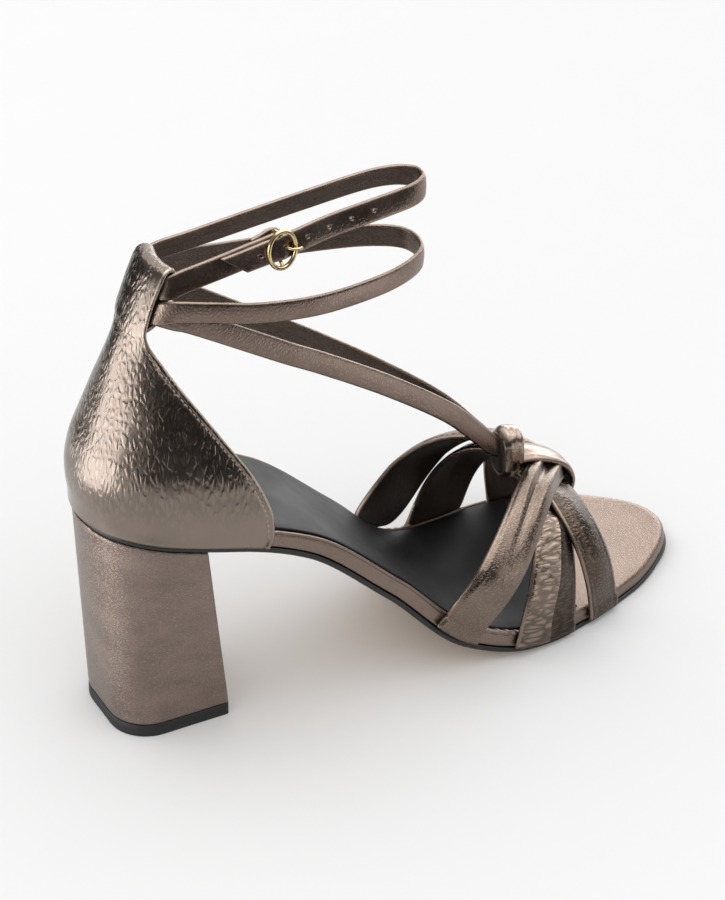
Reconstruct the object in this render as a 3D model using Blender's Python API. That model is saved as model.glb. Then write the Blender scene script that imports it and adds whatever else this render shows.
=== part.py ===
"""Women's strappy sandal with a block heel and ankle straps, right shoe.

Millimetres inside the functions, metres in the meshes. +X runs to the toe, +Y to the
inner side of the foot, +Z up. The origin is the middle of the heel's face on the floor.
"""
import math

import bmesh
import bpy
import numpy as np
from mathutils import Vector

MM = 0.001
GAP = 0.3

# Sole: one row for each section of the last, from the heel's end to the toe's tip.
# x along the shoe, middle of the section, half its width, height of the footbed's edge.
SOLE_SECTIONS = (
    (-21.7, -0.5, 0.0, 87.0),
    (-17.4, -0.5, 14.0, 86.0),
    (-1.0, -0.6, 23.9, 82.2),
    (21.2, -0.6, 27.2, 76.8),
    (47.9, -1.2, 26.5, 65.0),
    (76.7, -2.9, 27.3, 39.8),
    (101.2, -2.9, 31.8, 15.6),
    (123.4, -0.1, 36.2, 7.9),
    (134.0, 1.6, 36.5, 7.0),
    (145.6, 3.1, 35.2, 7.0),
    (167.8, 4.7, 28.9, 7.0),
    (185.5, 4.0, 16.9, 7.6),
    (194.4, 2.5, 0.0, 8.6),
)
SOLE_STATIONS = 40
SOLE_END_TRIM = 0.014
BOARD_THICKNESS = 4.9
BOARD_EDGE_ROUND = 0.9
SOLE_THICKNESS = 7.0
OUTSOLE_MARGIN = 0.5
INSOLE_THICKNESS = 0.8
INSOLE_MARGIN = -2.2
INSOLE_BACK = -20.0
INSOLE_FRONT = 144.0

# Block heel: a D in plan, round at the back, with a flat breast.
HEEL_BREAST_TOP = 11.2
HEEL_SEAT_MARGIN = 0.5
HEEL_FOOT_FRONT = 18.7
HEEL_FOOT_BACK = -18.7
HEEL_FOOT_HALF_WIDTH = 20.3
HEEL_FOOT_ROUND = 13.3
HEEL_LEVELS = 6
HEEL_SIDES = 29
LINE_SAMPLES = 60
TOP_PIECE_THICKNESS = 4.5

# Upper leather
LEATHER = 1.6
STRAP_LEATHER = 1.4
LASTED_MARGIN = GAP + LEATHER / 2 + 0.2
LASTED_DEPTH = 4.6

# Heel counter: one row for each level above the footbed, up to the crest of the tab's fold.
# x and z at the back, x and z at the front edge, half the width there, roundness in plan.
COUNTER_CENTRE = -0.5
COUNTER_COLUMNS = 29
COUNTER_FOOT_FRONT = 30.4
COUNTER_BULGE = 0.9
COUNTER_ROWS = (
    (-25.0, 92.5, 30.0, 82.0, 27.8, 2.6),
    (-24.6, 99.0, 27.2, 90.5, 26.9, 2.6),
    (-22.3, 107.0, 22.5, 100.5, 25.8, 2.5),
    (-18.9, 115.0, 16.8, 110.0, 24.2, 2.4),
    (-15.3, 124.0, 10.2, 121.0, 21.6, 2.2),
    (-12.0, 133.0, 4.2, 131.0, 17.4, 1.8),
    (-9.0, 141.0, -0.2, 139.5, 13.0, 1.4),
    (-6.2, 148.0, -3.4, 147.5, 10.0, 1.0),
    (-3.2, 156.0, -1.2, 156.0, 9.3, 1.0),
    (-0.6, 162.5, 1.4, 162.5, 9.3, 1.0),
    (1.2, 166.4, 3.2, 166.4, 9.3, 1.0),
    (2.8, 168.4, 4.6, 168.4, 9.0, 1.0),
    (5.0, 168.8, 6.6, 168.8, 8.2, 1.0),
    (7.2, 167.2, 8.2, 167.2, 7.2, 1.0),
    (7.5, 163.6, 8.2, 163.6, 6.2, 1.0),
    (5.2, 156.4, 5.9, 156.4, 6.0, 1.0),
    (3.7, 152.4, 4.4, 152.4, 6.0, 1.0),
    (2.0, 149.6, 2.6, 149.6, 6.0, 1.0),
    (-1.0, 147.9, -0.4, 147.9, 6.0, 1.0),
    (-3.7, 147.6, -3.1, 147.6, 6.0, 1.0),
)

# Last over the toes: height of its ridge along the shoe, and how square its sections are.
RIDGE = ((90.0, 59.0), (110.0, 54.0), (134.0, 48.2), (145.0, 42.4), (155.0, 35.4), (175.0, 25.5))
LAST_SQUARENESS = 2.3
VAMP_STATIONS = 13
VAMP_COLUMNS = 5
FULL_LIFT_RISE = 0.55
# Vamp straps: x of the back and front edge at the outer foot, at the ridge and at the inner
# foot, how far the strap lies over its neighbours at the ridge, and how fast the back and
# front edges leave the outer foot and the inner foot.
VAMP_STRAPS = (
    ("vamp_rear", 92.0, 103.5, 142.0, 151.5, 90.0, 98.0, 4.6, 1.4, 0.95, 1.1, 0.55),
    ("vamp_middle", 119.0, 140.0, 140.5, 149.5, 113.0, 136.0, 0.0, 1.1, 1.5, 0.8, 0.65),
    ("vamp_front", 147.5, 161.5, 141.0, 152.5, 148.0, 164.0, 2.3, 0.7, 0.85, 1.3, 0.9),
)

# Gather: where the straps are joined at the ridge, from the lowest strap up into the highest.
GATHER_BACK = 143.5
GATHER_FRONT = 148.5
GATHER_HALF_WIDTH = 3.5
GATHER_LOW = -0.4
GATHER_HIGH = 5.0

# Knot over the toes: a wrap round the neck and a loop round the gathered straps.
STRAP_WIDTH = 8.0
KNOT_MIDDLE = (132.6, 0.0, 55.5)
WRAP_HALF_HEIGHT = 9.3
WRAP_HALF_WIDTH = 4.6
WRAP_WIDTH = 7.6
WRAP_SIDES = 24
KNOT_LEATHER = 1.6
LOOP_PATH = (
    (133.0, 55.3), (141.0, 54.2), (148.5, 50.8), (153.8, 46.0), (156.2, 39.4),
    (154.6, 33.6), (149.8, 31.6), (144.0, 35.6), (138.6, 42.0), (133.0, 48.4),
)

# Ankle strap centre lines: x, y, z and the lean of the strap's width towards the toe.
# The upper strap runs from the buckle's bar through the tunnel and round to its own tail.
UPPER_STRAP = (
    (41.0, -6.4, 168.0, 0.0), (36.0, -8.6, 167.2, 0.0), (30.0, -9.4, 166.4, 0.0),
    (22.4, -9.4, 165.3, 0.0), (11.0, -9.6, 164.0, 0.15),
    (5.2, -9.0, 162.8, 0.36), (3.0, -5.0, 162.6, 0.42), (2.6, 0.0, 162.6, 0.42),
    (3.0, 5.0, 162.6, 0.42), (5.2, 9.4, 162.8, 0.36), (11.0, 10.6, 164.0, 0.15),
    (22.4, 10.8, 164.6, 0.0), (42.4, 10.2, 166.7, 0.0), (62.4, 9.2, 169.0, 0.0), (82.4, 8.8, 170.5, 0.0),
    (92.4, 7.2, 170.8, 0.0), (97.6, 3.8, 170.9, 0.0), (98.8, 0.0, 171.0, 0.0), (97.6, -3.8, 171.2, 0.0),
    (92.4, -7.2, 171.3, 0.0), (82.4, -8.8, 171.2, 0.0), (62.4, -9.6, 169.9, 0.0), (50.0, -11.0, 168.8, 0.0),
    (43.0, -11.6, 168.2, 0.0), (34.0, -11.6, 166.9, 0.0), (24.0, -11.4, 165.6, 0.0),
)
LOWER_STRAP = (
    (-0.9, 0.0, 154.6, 0.42), (-0.5, -5.0, 154.6, 0.42), (1.8, -9.6, 155.0, 0.36), (6.8, -13.0, 155.8, 0.15),
    (17.4, -16.6, 154.6, 0.0), (32.4, -19.2, 151.6, 0.0), (52.4, -19.8, 149.0, 0.0), (72.4, -17.2, 147.8, 0.0),
    (86.0, -13.2, 147.3, 0.0), (95.0, -7.4, 147.1, 0.0), (97.6, 0.0, 147.0, 0.0), (95.0, 7.4, 146.9, 0.0),
    (86.0, 13.2, 146.8, 0.0), (72.4, 17.2, 147.0, 0.0), (52.4, 19.8, 148.2, 0.0), (32.4, 19.2, 151.2, 0.0),
    (17.4, 16.6, 154.6, 0.0), (6.8, 13.0, 155.8, 0.15), (1.8, 9.6, 155.0, 0.36), (-0.5, 5.0, 154.6, 0.42),
)
# Strands from the tab's mouths to the knot; both sides use this row, mirrored.
STRAND = (
    (0.5, 2.7, 153.9, 0.42), (1.0, 4.8, 153.9, 0.42), (2.9, 8.3, 153.4, 0.36), (7.4, 11.2, 151.8, 0.2),
    (15.0, 12.6, 148.4, 0.1), (44.5, 11.0, 128.6, 0.0),
    (60.0, 9.6, 118.4, 0.0), (84.0, 7.0, 101.2, 0.0), (107.0, 4.4, 82.4, 0.0), (120.0, 2.0, 68.2, 0.0),
    (126.0, 1.0, 61.2, 0.0), (131.0, 0.9, 57.4, 0.0),
)
STRAND_WIDTH = 7.6
NECK_WIDTH = 6.4
TUNNEL_PASS = (1.6, 158.2, 0.42)
TUNNEL_PASS_HEIGHT = 14.2
TUNNEL_PASS_HALF_WIDTH = 4.3
TUNNEL_PASS_THICKNESS = 3.5
PATH_STEP = 4.5

# Buckle on the outer side: an oval frame with a bar behind the strap, and a prong.
BUCKLE_X = 43.0
BUCKLE_Z = 168.4
BUCKLE_HALF_LENGTH = 4.6
BUCKLE_HALF_HEIGHT = 6.6
BUCKLE_WIRE = 0.75
FRAME_SIDES = 24
BAR_Y = -7.6
BAR_WIRE = 0.6
EYE_OUTER = 2.0
EYE_INNER = 1.0
EYE_SIDES = 12
PRONG_WIRE = 0.5
PRONG_PLAY = 0.45
# Half of the bar: steps outwards from its middle line and up from the buckle's middle.
BAR_STEPS = ((5.9, 6.6), (3.9, 6.0), (1.6, 5.5), (0.0, 5.0))
# Prong: steps along the strap and outwards, from the bar's middle line.
PRONG_STEPS = ((0.2, 1.4), (0.9, 2.9), (1.6, 4.6), (2.6, 6.6), (4.6, 7.7), (6.2, 7.4))
TUBE_SIDES = 8

# Finishes: colour, roughness and metallic share.
BRONZE = ("bronze_leather", (0.205, 0.160, 0.135, 1.0), 0.38, 0.75)
BLACK_SOLE = ("black_sole_edge", (0.012, 0.011, 0.011, 1.0), 0.55, 0.0)
BLACK_SOCK = ("black_sock_lining", (0.015, 0.015, 0.018, 1.0), 0.6, 0.0)
BLACK_RUBBER = ("black_heel_rubber", (0.010, 0.010, 0.010, 1.0), 0.7, 0.0)
GOLD = ("pale_gold", (0.78, 0.62, 0.36, 1.0), 0.25, 1.0)


def clear_scene():
    """Take every object out of the scene."""
    for item in list(bpy.data.objects):
        bpy.data.objects.remove(item, do_unlink=True)


def finish(name, colour, roughness, metallic):
    """Return the Principled material of that name."""
    material = bpy.data.materials.get(name) or bpy.data.materials.new(name)
    material.use_nodes = True
    shader = material.node_tree.nodes["Principled BSDF"]
    shader.inputs["Base Color"].default_value = colour
    shader.inputs["Roughness"].default_value = roughness
    shader.inputs["Metallic"].default_value = metallic
    return material


def smooth(rows, x):
    """Monotone cubic through (x, value) rows, read at x and held at the ends."""
    xs = [row[0] for row in rows]
    ys = [row[1] for row in rows]
    x = min(max(x, xs[0]), xs[-1])
    steps = [b - a for a, b in zip(xs, xs[1:])]
    slopes = [(b - a) / h for a, b, h in zip(ys, ys[1:], steps)]
    tangents = [slopes[0]]
    for left, right in zip(slopes, slopes[1:]):
        tangents.append(0.0 if left * right <= 0 else 2 * left * right / (left + right))
    tangents.append(slopes[-1])
    i = max(k for k in range(len(steps)) if xs[k] <= x)
    t = (x - xs[i]) / steps[i]
    start = (1 + 2 * t) * (1 - t) ** 2 * ys[i] + t * (1 - t) ** 2 * steps[i] * tangents[i]
    end = t * t * (3 - 2 * t) * ys[i + 1] + t * t * (t - 1) * steps[i] * tangents[i + 1]
    return start + end


SOLE_LENGTH = SOLE_SECTIONS[-1][0] - SOLE_SECTIONS[0][0]


def angle_of(x):
    """Share of the half turn, 0 at the heel and 1 at the toe, that lands on x."""
    share = (x - SOLE_SECTIONS[0][0]) / SOLE_LENGTH
    return math.acos(1 - 2 * min(max(share, 0.0), 1.0)) / math.pi


MIDDLE_ROWS = [(angle_of(x), middle) for x, middle, half, height in SOLE_SECTIONS]
HALF_ROWS = [(angle_of(x), half) for x, middle, half, height in SOLE_SECTIONS]
FOOTBED_ROWS = [(x, height) for x, middle, half, height in SOLE_SECTIONS]


def outline_base(u, side):
    """Point of the sole's outline in plan, on the outer side (-1) or inner side (+1)."""
    x = SOLE_SECTIONS[0][0] + SOLE_LENGTH * (1 - math.cos(math.pi * u)) / 2
    return x, smooth(MIDDLE_ROWS, u) + side * smooth(HALF_ROWS, u)


def outline(u, side, margin):
    """Outline point moved outwards by a margin."""
    step = 0.004
    x0, y0 = outline_base(max(u - step, 0.0), side)
    x1, y1 = outline_base(min(u + step, 1.0), side)
    length = math.hypot(x1 - x0, y1 - y0)
    x, y = outline_base(u, side)
    return x - side * margin * (y1 - y0) / length, y + side * margin * (x1 - x0) / length


def footbed(x):
    """Height of the footbed and its unit normal in the shoe's long plane."""
    step = 0.5
    low = SOLE_SECTIONS[0][0] + step
    high = SOLE_SECTIONS[-1][0] - step
    at = min(max(x, low), high)
    slope = (smooth(FOOTBED_ROWS, at + step) - smooth(FOOTBED_ROWS, at - step)) / (2 * step)
    height = smooth(FOOTBED_ROWS, x)
    length = math.hypot(1.0, slope)
    return height, -slope / length, 1 / length


def sole_point(u, side, margin, depth):
    """Point at a depth below the footbed on the outline moved out by a margin."""
    x, y = outline(u, side, margin)
    height, normal_x, normal_z = footbed(x)
    return Vector((x - normal_x * depth, y, height - normal_z * depth))


def resample(points, count):
    """Points spaced evenly by length along a polyline."""
    lengths = [0.0]
    for a, b in zip(points, points[1:]):
        lengths.append(lengths[-1] + (b - a).length)
    targets = np.linspace(0.0, lengths[-1], count)
    columns = [np.interp(targets, lengths, [point[axis] for point in points]) for axis in range(3)]
    return [Vector(row) for row in zip(*columns)]


def spline(points, step, closed=False):
    """Smooth curve through hand-set points of any number of columns, read every step."""
    rows = [np.array(point, dtype=float) for point in points]
    last = len(rows)
    read = []
    for i in range(last if closed else last - 1):
        before = rows[i - 1] if closed or i > 0 else 2 * rows[0] - rows[1]
        start = rows[i]
        end = rows[(i + 1) % last]
        after = rows[(i + 2) % last] if closed or i + 2 < last else 2 * rows[-1] - rows[-2]
        parts = max(2, round(float(np.linalg.norm((end - start)[:3])) / step))
        for t in np.linspace(0.0, 1.0, parts, endpoint=False):
            cubic = (3 * start - before - 3 * end + after) * t ** 3
            square = (2 * before - 5 * start + 4 * end - after) * t ** 2
            read.append(0.5 * (2 * start + (end - before) * t + square + cubic))
    if not closed:
        read.append(rows[-1])
    return read


def add_object(name, bm, material=None):
    """Put a bmesh, in millimetres, into the scene as an object in metres."""
    bmesh.ops.scale(bm, vec=(MM, MM, MM), verts=bm.verts)
    mesh = bpy.data.meshes.new(name)
    bm.to_mesh(mesh)
    bm.free()
    item = bpy.data.objects.new(name, mesh)
    bpy.context.collection.objects.link(item)
    if material:
        mesh.materials.append(finish(*material))
    mesh.shade_smooth()
    mesh.set_sharp_from_angle(angle=math.radians(35.0))
    return item


def loft(name, rings, material, closed=False):
    """Closed solid through rings of equal count; open lofts get strip caps at both ends."""
    bm = bmesh.new()
    rows = [[bm.verts.new(point) for point in ring] for ring in rings]
    count = len(rows[0])
    pairs = list(zip(rows, rows[1:]))
    if closed:
        pairs.append((rows[-1], rows[0]))
    for lower, upper in pairs:
        for i in range(count):
            j = (i + 1) % count
            bm.faces.new((lower[i], lower[j], upper[j], upper[i]))
    if not closed:
        for ring in (rows[0], rows[-1]):
            cap_strip(bm, ring)
    bmesh.ops.recalc_face_normals(bm, faces=bm.faces)
    return add_object(name, bm, material)


def cap_strip(bm, ring):
    """Close a ring with a strip between its two mirrored halves."""
    low = 0
    high = len(ring) - 1
    while high - low >= 3:
        bm.faces.new((ring[low], ring[low + 1], ring[high - 1], ring[high]))
        low += 1
        high -= 1
    if high - low == 2:
        bm.faces.new((ring[low], ring[low + 1], ring[high]))


def sheet(name, rows, thickness, material=None, closed=False):
    """Leather sheet through rows of points, with its thickness shared by both faces."""
    bm = bmesh.new()
    grid = [[bm.verts.new(point) for point in row] for row in rows]
    pairs = list(zip(grid, grid[1:]))
    if closed:
        pairs.append((grid[-1], grid[0]))
    for lower, upper in pairs:
        for i in range(len(lower) - 1):
            bm.faces.new((lower[i], lower[i + 1], upper[i + 1], upper[i]))
    bmesh.ops.recalc_face_normals(bm, faces=bm.faces)
    item = add_object(name, bm, material)
    wall = item.modifiers.new("wall", "SOLIDIFY")
    wall.thickness = thickness * MM
    wall.offset = 0.0
    return item


def ribbon_rows(path, width, closed=False, end_width=None):
    """Lower and upper edge of a strap on edge along (x, y, z, lean) points."""
    rows = []
    count = len(path)
    for i, point in enumerate(path):
        after = path[(i + 1) % count] if closed or i + 1 < count else point
        before = path[i - 1] if closed or i > 0 else point
        tangent = Vector(after[:3] - before[:3]).normalized()
        up = Vector((point[3], 0.0, 1.0))
        up = (up - tangent * up.dot(tangent)).normalized()
        share = i / (count - 1)
        half = (width + ((end_width or width) - width) * share ** 3) / 2
        middle = Vector(point[:3])
        rows.append((middle - up * half, middle + up * half))
    return rows


def tube(name, path, radius, material=None, closed=False):
    """Round wire along a path of points."""
    rings = []
    count = len(path)
    side = None
    for i, point in enumerate(path):
        after = path[(i + 1) % count] if closed or i + 1 < count else point
        before = path[i - 1] if closed or i > 0 else point
        tangent = (after - before).normalized()
        if side is None:
            side = tangent.orthogonal()
        side = (side - tangent * side.dot(tangent)).normalized()
        other = tangent.cross(side)
        turns = [2 * math.pi * k / TUBE_SIDES for k in range(TUBE_SIDES)]
        rings.append([point + radius * (math.cos(a) * side + math.sin(a) * other) for a in turns])
    return loft(name, rings, material, closed)


def combine(base, others, operation="UNION"):
    """Join hidden shapes to a solid, or cut it with them."""
    for other in others:
        other.hide_render = True
        other.display_type = "WIRE"
        step = base.modifiers.new(other.name, "BOOLEAN")
        step.operation = operation
        step.solver = "EXACT"
        step.object = other
    base.modifiers.new("facets", "TRIANGULATE").ngon_method = "CLIP"
    return base


def build_sole():
    """Outsole, covered board and sock, all offset from the footbed of the last."""
    stations = np.linspace(SOLE_END_TRIM, 1 - SOLE_END_TRIM, SOLE_STATIONS)
    outsole_corners = (
        (-1, OUTSOLE_MARGIN, SOLE_THICKNESS), (1, OUTSOLE_MARGIN, SOLE_THICKNESS),
        (1, OUTSOLE_MARGIN, BOARD_THICKNESS + GAP), (-1, OUTSOLE_MARGIN, BOARD_THICKNESS + GAP),
    )
    board_corners = (
        (-1, 0.0, BOARD_THICKNESS), (1, 0.0, BOARD_THICKNESS), (1, 0.0, BOARD_EDGE_ROUND),
        (1, -BOARD_EDGE_ROUND, 0.0), (-1, -BOARD_EDGE_ROUND, 0.0), (-1, 0.0, BOARD_EDGE_ROUND),
    )
    insole_corners = (
        (-1, INSOLE_MARGIN, -GAP), (1, INSOLE_MARGIN, -GAP),
        (1, INSOLE_MARGIN, -GAP - INSOLE_THICKNESS), (-1, INSOLE_MARGIN, -GAP - INSOLE_THICKNESS),
    )
    insole_stations = [u for u in stations if angle_of(INSOLE_BACK) < u < angle_of(INSOLE_FRONT)]
    layers = (
        ("outsole", stations, outsole_corners, BLACK_SOLE),
        ("sole_board", stations, board_corners, BRONZE),
        ("insole", insole_stations, insole_corners, BLACK_SOCK),
    )
    for name, at, corners, material in layers:
        loft(name, [[sole_point(u, *corner) for corner in corners] for u in at], material)


def heel_line(margin, depth, front):
    """Sole line round the heel, from the outer front edge by the back to the inner one."""
    shares = np.linspace(angle_of(front), SOLE_END_TRIM / 2, LINE_SAMPLES)
    outer = [sole_point(u, -1, margin, depth) for u in shares]
    inner = [sole_point(u, 1, margin, depth) for u in reversed(shares)]
    return outer + inner


def heel_foot(height):
    """D-shaped line of the heel at its foot, from the outer front corner to the inner one."""
    half = HEEL_FOOT_HALF_WIDTH
    turn = HEEL_FOOT_ROUND
    arc = [math.radians(a) for a in range(0, 91, 6)]
    outer = [Vector((HEEL_FOOT_FRONT, -half, height))]
    for a in arc:
        back = HEEL_FOOT_BACK + turn * (1 - math.sin(a))
        outer.append(Vector((back, -half + turn * (1 - math.cos(a)), height)))
    inner = [Vector((point.x, -point.y, point.z)) for point in reversed(outer)]
    return outer + inner


def build_heel():
    """Covered block from the seat down to the top piece, and the top piece under it."""
    seat = resample(heel_line(HEEL_SEAT_MARGIN, SOLE_THICKNESS + GAP, HEEL_BREAST_TOP), HEEL_SIDES)
    foot = resample(heel_foot(TOP_PIECE_THICKNESS + GAP), HEEL_SIDES)
    shares = np.linspace(0.0, 1.0, HEEL_LEVELS)
    loft("heel", [[a.lerp(b, t) for a, b in zip(seat, foot)] for t in shares], BRONZE)
    plate = [resample(heel_foot(height), HEEL_SIDES) for height in (TOP_PIECE_THICKNESS, 0.0)]
    loft("heel_top_piece", plate, BLACK_RUBBER)


def counter_line(back_x, back_z, front_x, front_z, half, roundness):
    """Plan curve of the counter at one level, outer front edge to inner front edge."""
    outer = []
    power = max(2.0, roundness)
    for share in np.linspace(1.0, 0.0, LINE_SAMPLES) ** 2:
        across = half * (1 - (1 - share) ** roundness) ** (1 / power)
        along = back_x + (front_x - back_x) * share
        outer.append(Vector((along, COUNTER_CENTRE - across, back_z + (front_z - back_z) * share)))
    inner = [Vector((point.x, 2 * COUNTER_CENTRE - point.y, point.z)) for point in reversed(outer)]
    return outer + inner[1:]


def build_counter():
    """Closed back lasted round the board, with its tab folded over into a tunnel."""
    lines = [
        heel_line(LASTED_MARGIN, LASTED_DEPTH, COUNTER_FOOT_FRONT),
        heel_line(LASTED_MARGIN + COUNTER_BULGE, 0.0, COUNTER_FOOT_FRONT),
    ]
    lines += [counter_line(*row) for row in COUNTER_ROWS]
    sheet("heel_counter", [resample(line, COUNTER_COLUMNS) for line in lines], LEATHER, BRONZE)


def last_point(x, turn, lift):
    """Point of the last's skin at a turn from the outer edge (0) over the ridge to the inner edge."""
    u = angle_of(x)
    side = -1 if turn < math.pi / 2 else 1
    level = footbed(x)[0]
    edge = outline(u, side, LASTED_MARGIN)[1]
    power = 2 / LAST_SQUARENESS
    across = abs(math.cos(turn)) ** power
    rise = math.sin(turn) ** power
    raised = lift * min(1.0, rise / FULL_LIFT_RISE)
    return Vector((x, (edge + side * raised) * across, level + (smooth(RIDGE, x) - level + raised) * rise))


def vamp_rows(outer, ridge, inner, lift, outer_sweep, inner_sweep):
    """Rows of a strap from the outer foot over the ridge to the inner foot."""
    rows = []
    for share in np.linspace(0.0, 2.0, 2 * VAMP_STATIONS + 1):
        foot, sweep = (outer, outer_sweep) if share < 1 else (inner, inner_sweep)
        rise = 1 - abs(1 - share)
        turn = share * math.pi / 2
        edges = [a + (b - a) * rise ** power for a, b, power in zip(foot, ridge, sweep)]
        rows.append([last_point(x, turn, lift) for x in np.linspace(edges[0], edges[1], VAMP_COLUMNS)])
    feet = []
    for side, edges in ((-1, outer), (1, inner)):
        across = np.linspace(edges[0], edges[1], VAMP_COLUMNS)
        feet.append([sole_point(angle_of(x), side, LASTED_MARGIN, LASTED_DEPTH) for x in across])
    return [feet[0]] + rows + [feet[1]]


def gather():
    """Block inside the stack of straps at the ridge, which joins them."""
    rings = []
    for x in (GATHER_BACK, GATHER_FRONT):
        low = smooth(RIDGE, x) + GATHER_LOW
        high = smooth(RIDGE, x) + GATHER_HIGH
        half = GATHER_HALF_WIDTH
        rings.append([Vector((x, y, z)) for y, z in ((-half, low), (half, low), (half, high), (-half, high))])
    return loft("gather", rings, None)


def build_vamp():
    """Three straps over the toes, gathered at the ridge and joined there."""
    straps = []
    for name, *row in VAMP_STRAPS:
        outer, ridge, inner = row[0:2], row[2:4], row[4:6]
        lift, outer_sweep, inner_sweep = row[6], row[7:9], row[9:11]
        rows = vamp_rows(outer, ridge, inner, lift, outer_sweep, inner_sweep)
        straps.append(sheet(name, rows, LEATHER, BRONZE))
    straps[0].name = "vamp_straps"
    combine(straps[0], [gather()] + straps[1:])


def build_knot():
    """Wrap round the neck, joined to the loop that holds the gathered straps."""
    middle = Vector(KNOT_MIDDLE)
    along = Vector((WRAP_WIDTH / 2, 0.0, 0.0))
    straight = WRAP_HALF_HEIGHT - WRAP_HALF_WIDTH
    wrap_rows = []
    for k in range(WRAP_SIDES):
        turn = 2 * math.pi * (k + 0.5) / WRAP_SIDES
        rise = WRAP_HALF_WIDTH * math.sin(turn) + math.copysign(straight, math.sin(turn))
        point = middle + Vector((0.0, WRAP_HALF_WIDTH * math.cos(turn), rise))
        wrap_rows.append((point - along, point + along))
    wrap = sheet("knot", wrap_rows, KNOT_LEATHER, BRONZE, closed=True)
    loop_path = spline([(x, 0.0, z) for x, z in LOOP_PATH], PATH_STEP)
    half = Vector((0.0, STRAP_WIDTH / 2, 0.0))
    loop_rows = [(Vector(point) - half, Vector(point) + half) for point in loop_path]
    combine(wrap, [sheet("knot_loop", loop_rows, KNOT_LEATHER)])


def tunnel_pass():
    """Straps lying side by side inside the tab's tunnel, joined there."""
    x, z, lean = TUNNEL_PASS
    up = Vector((lean, 0.0, 1.0)).normalized() * TUNNEL_PASS_HEIGHT / 2
    ends = [Vector((x, side * TUNNEL_PASS_HALF_WIDTH, z)) for side in (-1, 1)]
    return sheet("tunnel_pass", [(end - up, end + up) for end in ends], TUNNEL_PASS_THICKNESS)


def buckle_eye():
    """Strap end turned round the buckle's bar."""
    rings = []
    for radius, rise in ((EYE_OUTER, -1), (EYE_OUTER, 1), (EYE_INNER, 1), (EYE_INNER, -1)):
        height = BUCKLE_Z + rise * STRAP_WIDTH / 2
        turns = [2 * math.pi * k / EYE_SIDES for k in range(EYE_SIDES)]
        ring = [(BUCKLE_X + radius * math.cos(a), BAR_Y + radius * math.sin(a), height) for a in turns]
        rings.append([Vector(point) for point in ring])
    return loft("buckle_eye", rings, None, closed=True)


def build_ankle_straps():
    """Both loops round the ankle, the strands to the knot and the end that holds the buckle."""
    lower = sheet("ankle_strap", ribbon_rows(spline(LOWER_STRAP, PATH_STEP, True), STRAP_WIDTH, True),
                  STRAP_LEATHER, BRONZE, closed=True)
    upper = sheet("upper_loop", ribbon_rows(spline(UPPER_STRAP, PATH_STEP), STRAP_WIDTH), STRAP_LEATHER)
    pieces = [tunnel_pass(), upper, buckle_eye()]
    for name, side in (("outer_strand", -1), ("inner_strand", 1)):
        path = spline([(x, side * y, z, lean) for x, y, z, lean in STRAND], PATH_STEP)
        rows = ribbon_rows(path, STRAND_WIDTH, end_width=NECK_WIDTH)
        pieces.append(sheet(name, rows, STRAP_LEATHER))
    combine(lower, pieces)
    hole = prong_path()
    hole.insert(0, 2 * hole[0] - hole[1])
    combine(lower, [tube("prong_hole", hole, PRONG_WIRE + PRONG_PLAY)], "DIFFERENCE")


def prong_path():
    """Line of the prong from the bar out through the strap and over the frame's front."""
    return [Vector((BUCKLE_X + along, BAR_Y - out, BUCKLE_Z)) for along, out in PRONG_STEPS]


def build_buckle():
    """Oval frame with its bar behind the strap, and the prong."""
    turns = [2 * math.pi * k / FRAME_SIDES for k in range(FRAME_SIDES)]
    oval = [(BUCKLE_HALF_LENGTH * math.cos(a), BUCKLE_HALF_HEIGHT * math.sin(a)) for a in turns]
    frame_y = BAR_Y - BAR_STEPS[0][0]
    ring = [Vector((BUCKLE_X + along, frame_y, BUCKLE_Z + rise)) for along, rise in oval]
    frame = tube("buckle_frame", ring, BUCKLE_WIRE, GOLD, closed=True)
    bar = [Vector((BUCKLE_X, BAR_Y - out, BUCKLE_Z + rise)) for out, rise in BAR_STEPS]
    bar += [Vector((BUCKLE_X, BAR_Y - out, BUCKLE_Z - rise)) for out, rise in reversed(BAR_STEPS)]
    combine(frame, [tube("buckle_bar", bar, BAR_WIRE)])
    tube("buckle_prong", prong_path(), PRONG_WIRE, GOLD)


def build_all():
    """Build every piece of the shoe."""
    clear_scene()
    build_sole()
    build_heel()
    build_counter()
    build_vamp()
    build_knot()
    build_ankle_straps()
    build_buckle()


build_all()
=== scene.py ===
"""Looks of a women's bronze strappy sandal, right shoe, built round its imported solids.

Sizes are in millimetres inside the classes and in metres in the meshes. +X runs to the toe,
+Y to the inner side of the foot, +Z up, and the heel stands on the origin.
"""
from __future__ import annotations

import logging
import math
from dataclasses import dataclass
from enum import Enum, IntEnum
from typing import Any, Sequence

import bmesh
import bpy
import numpy as np
from mathutils import Matrix, Vector

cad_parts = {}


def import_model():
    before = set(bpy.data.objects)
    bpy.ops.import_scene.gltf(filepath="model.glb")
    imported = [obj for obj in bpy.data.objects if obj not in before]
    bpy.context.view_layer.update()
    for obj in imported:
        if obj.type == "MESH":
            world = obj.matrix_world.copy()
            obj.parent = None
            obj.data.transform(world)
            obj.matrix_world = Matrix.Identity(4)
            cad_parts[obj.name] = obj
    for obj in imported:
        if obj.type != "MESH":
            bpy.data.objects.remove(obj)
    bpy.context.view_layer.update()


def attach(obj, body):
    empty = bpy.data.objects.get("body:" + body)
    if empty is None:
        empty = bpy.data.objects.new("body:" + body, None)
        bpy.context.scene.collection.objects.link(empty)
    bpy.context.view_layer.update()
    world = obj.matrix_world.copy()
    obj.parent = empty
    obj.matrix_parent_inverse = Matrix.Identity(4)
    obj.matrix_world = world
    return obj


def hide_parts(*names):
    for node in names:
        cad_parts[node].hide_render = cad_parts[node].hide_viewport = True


MM = 0.001
WELD = 1e-7
TINY = 1e-9
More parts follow.
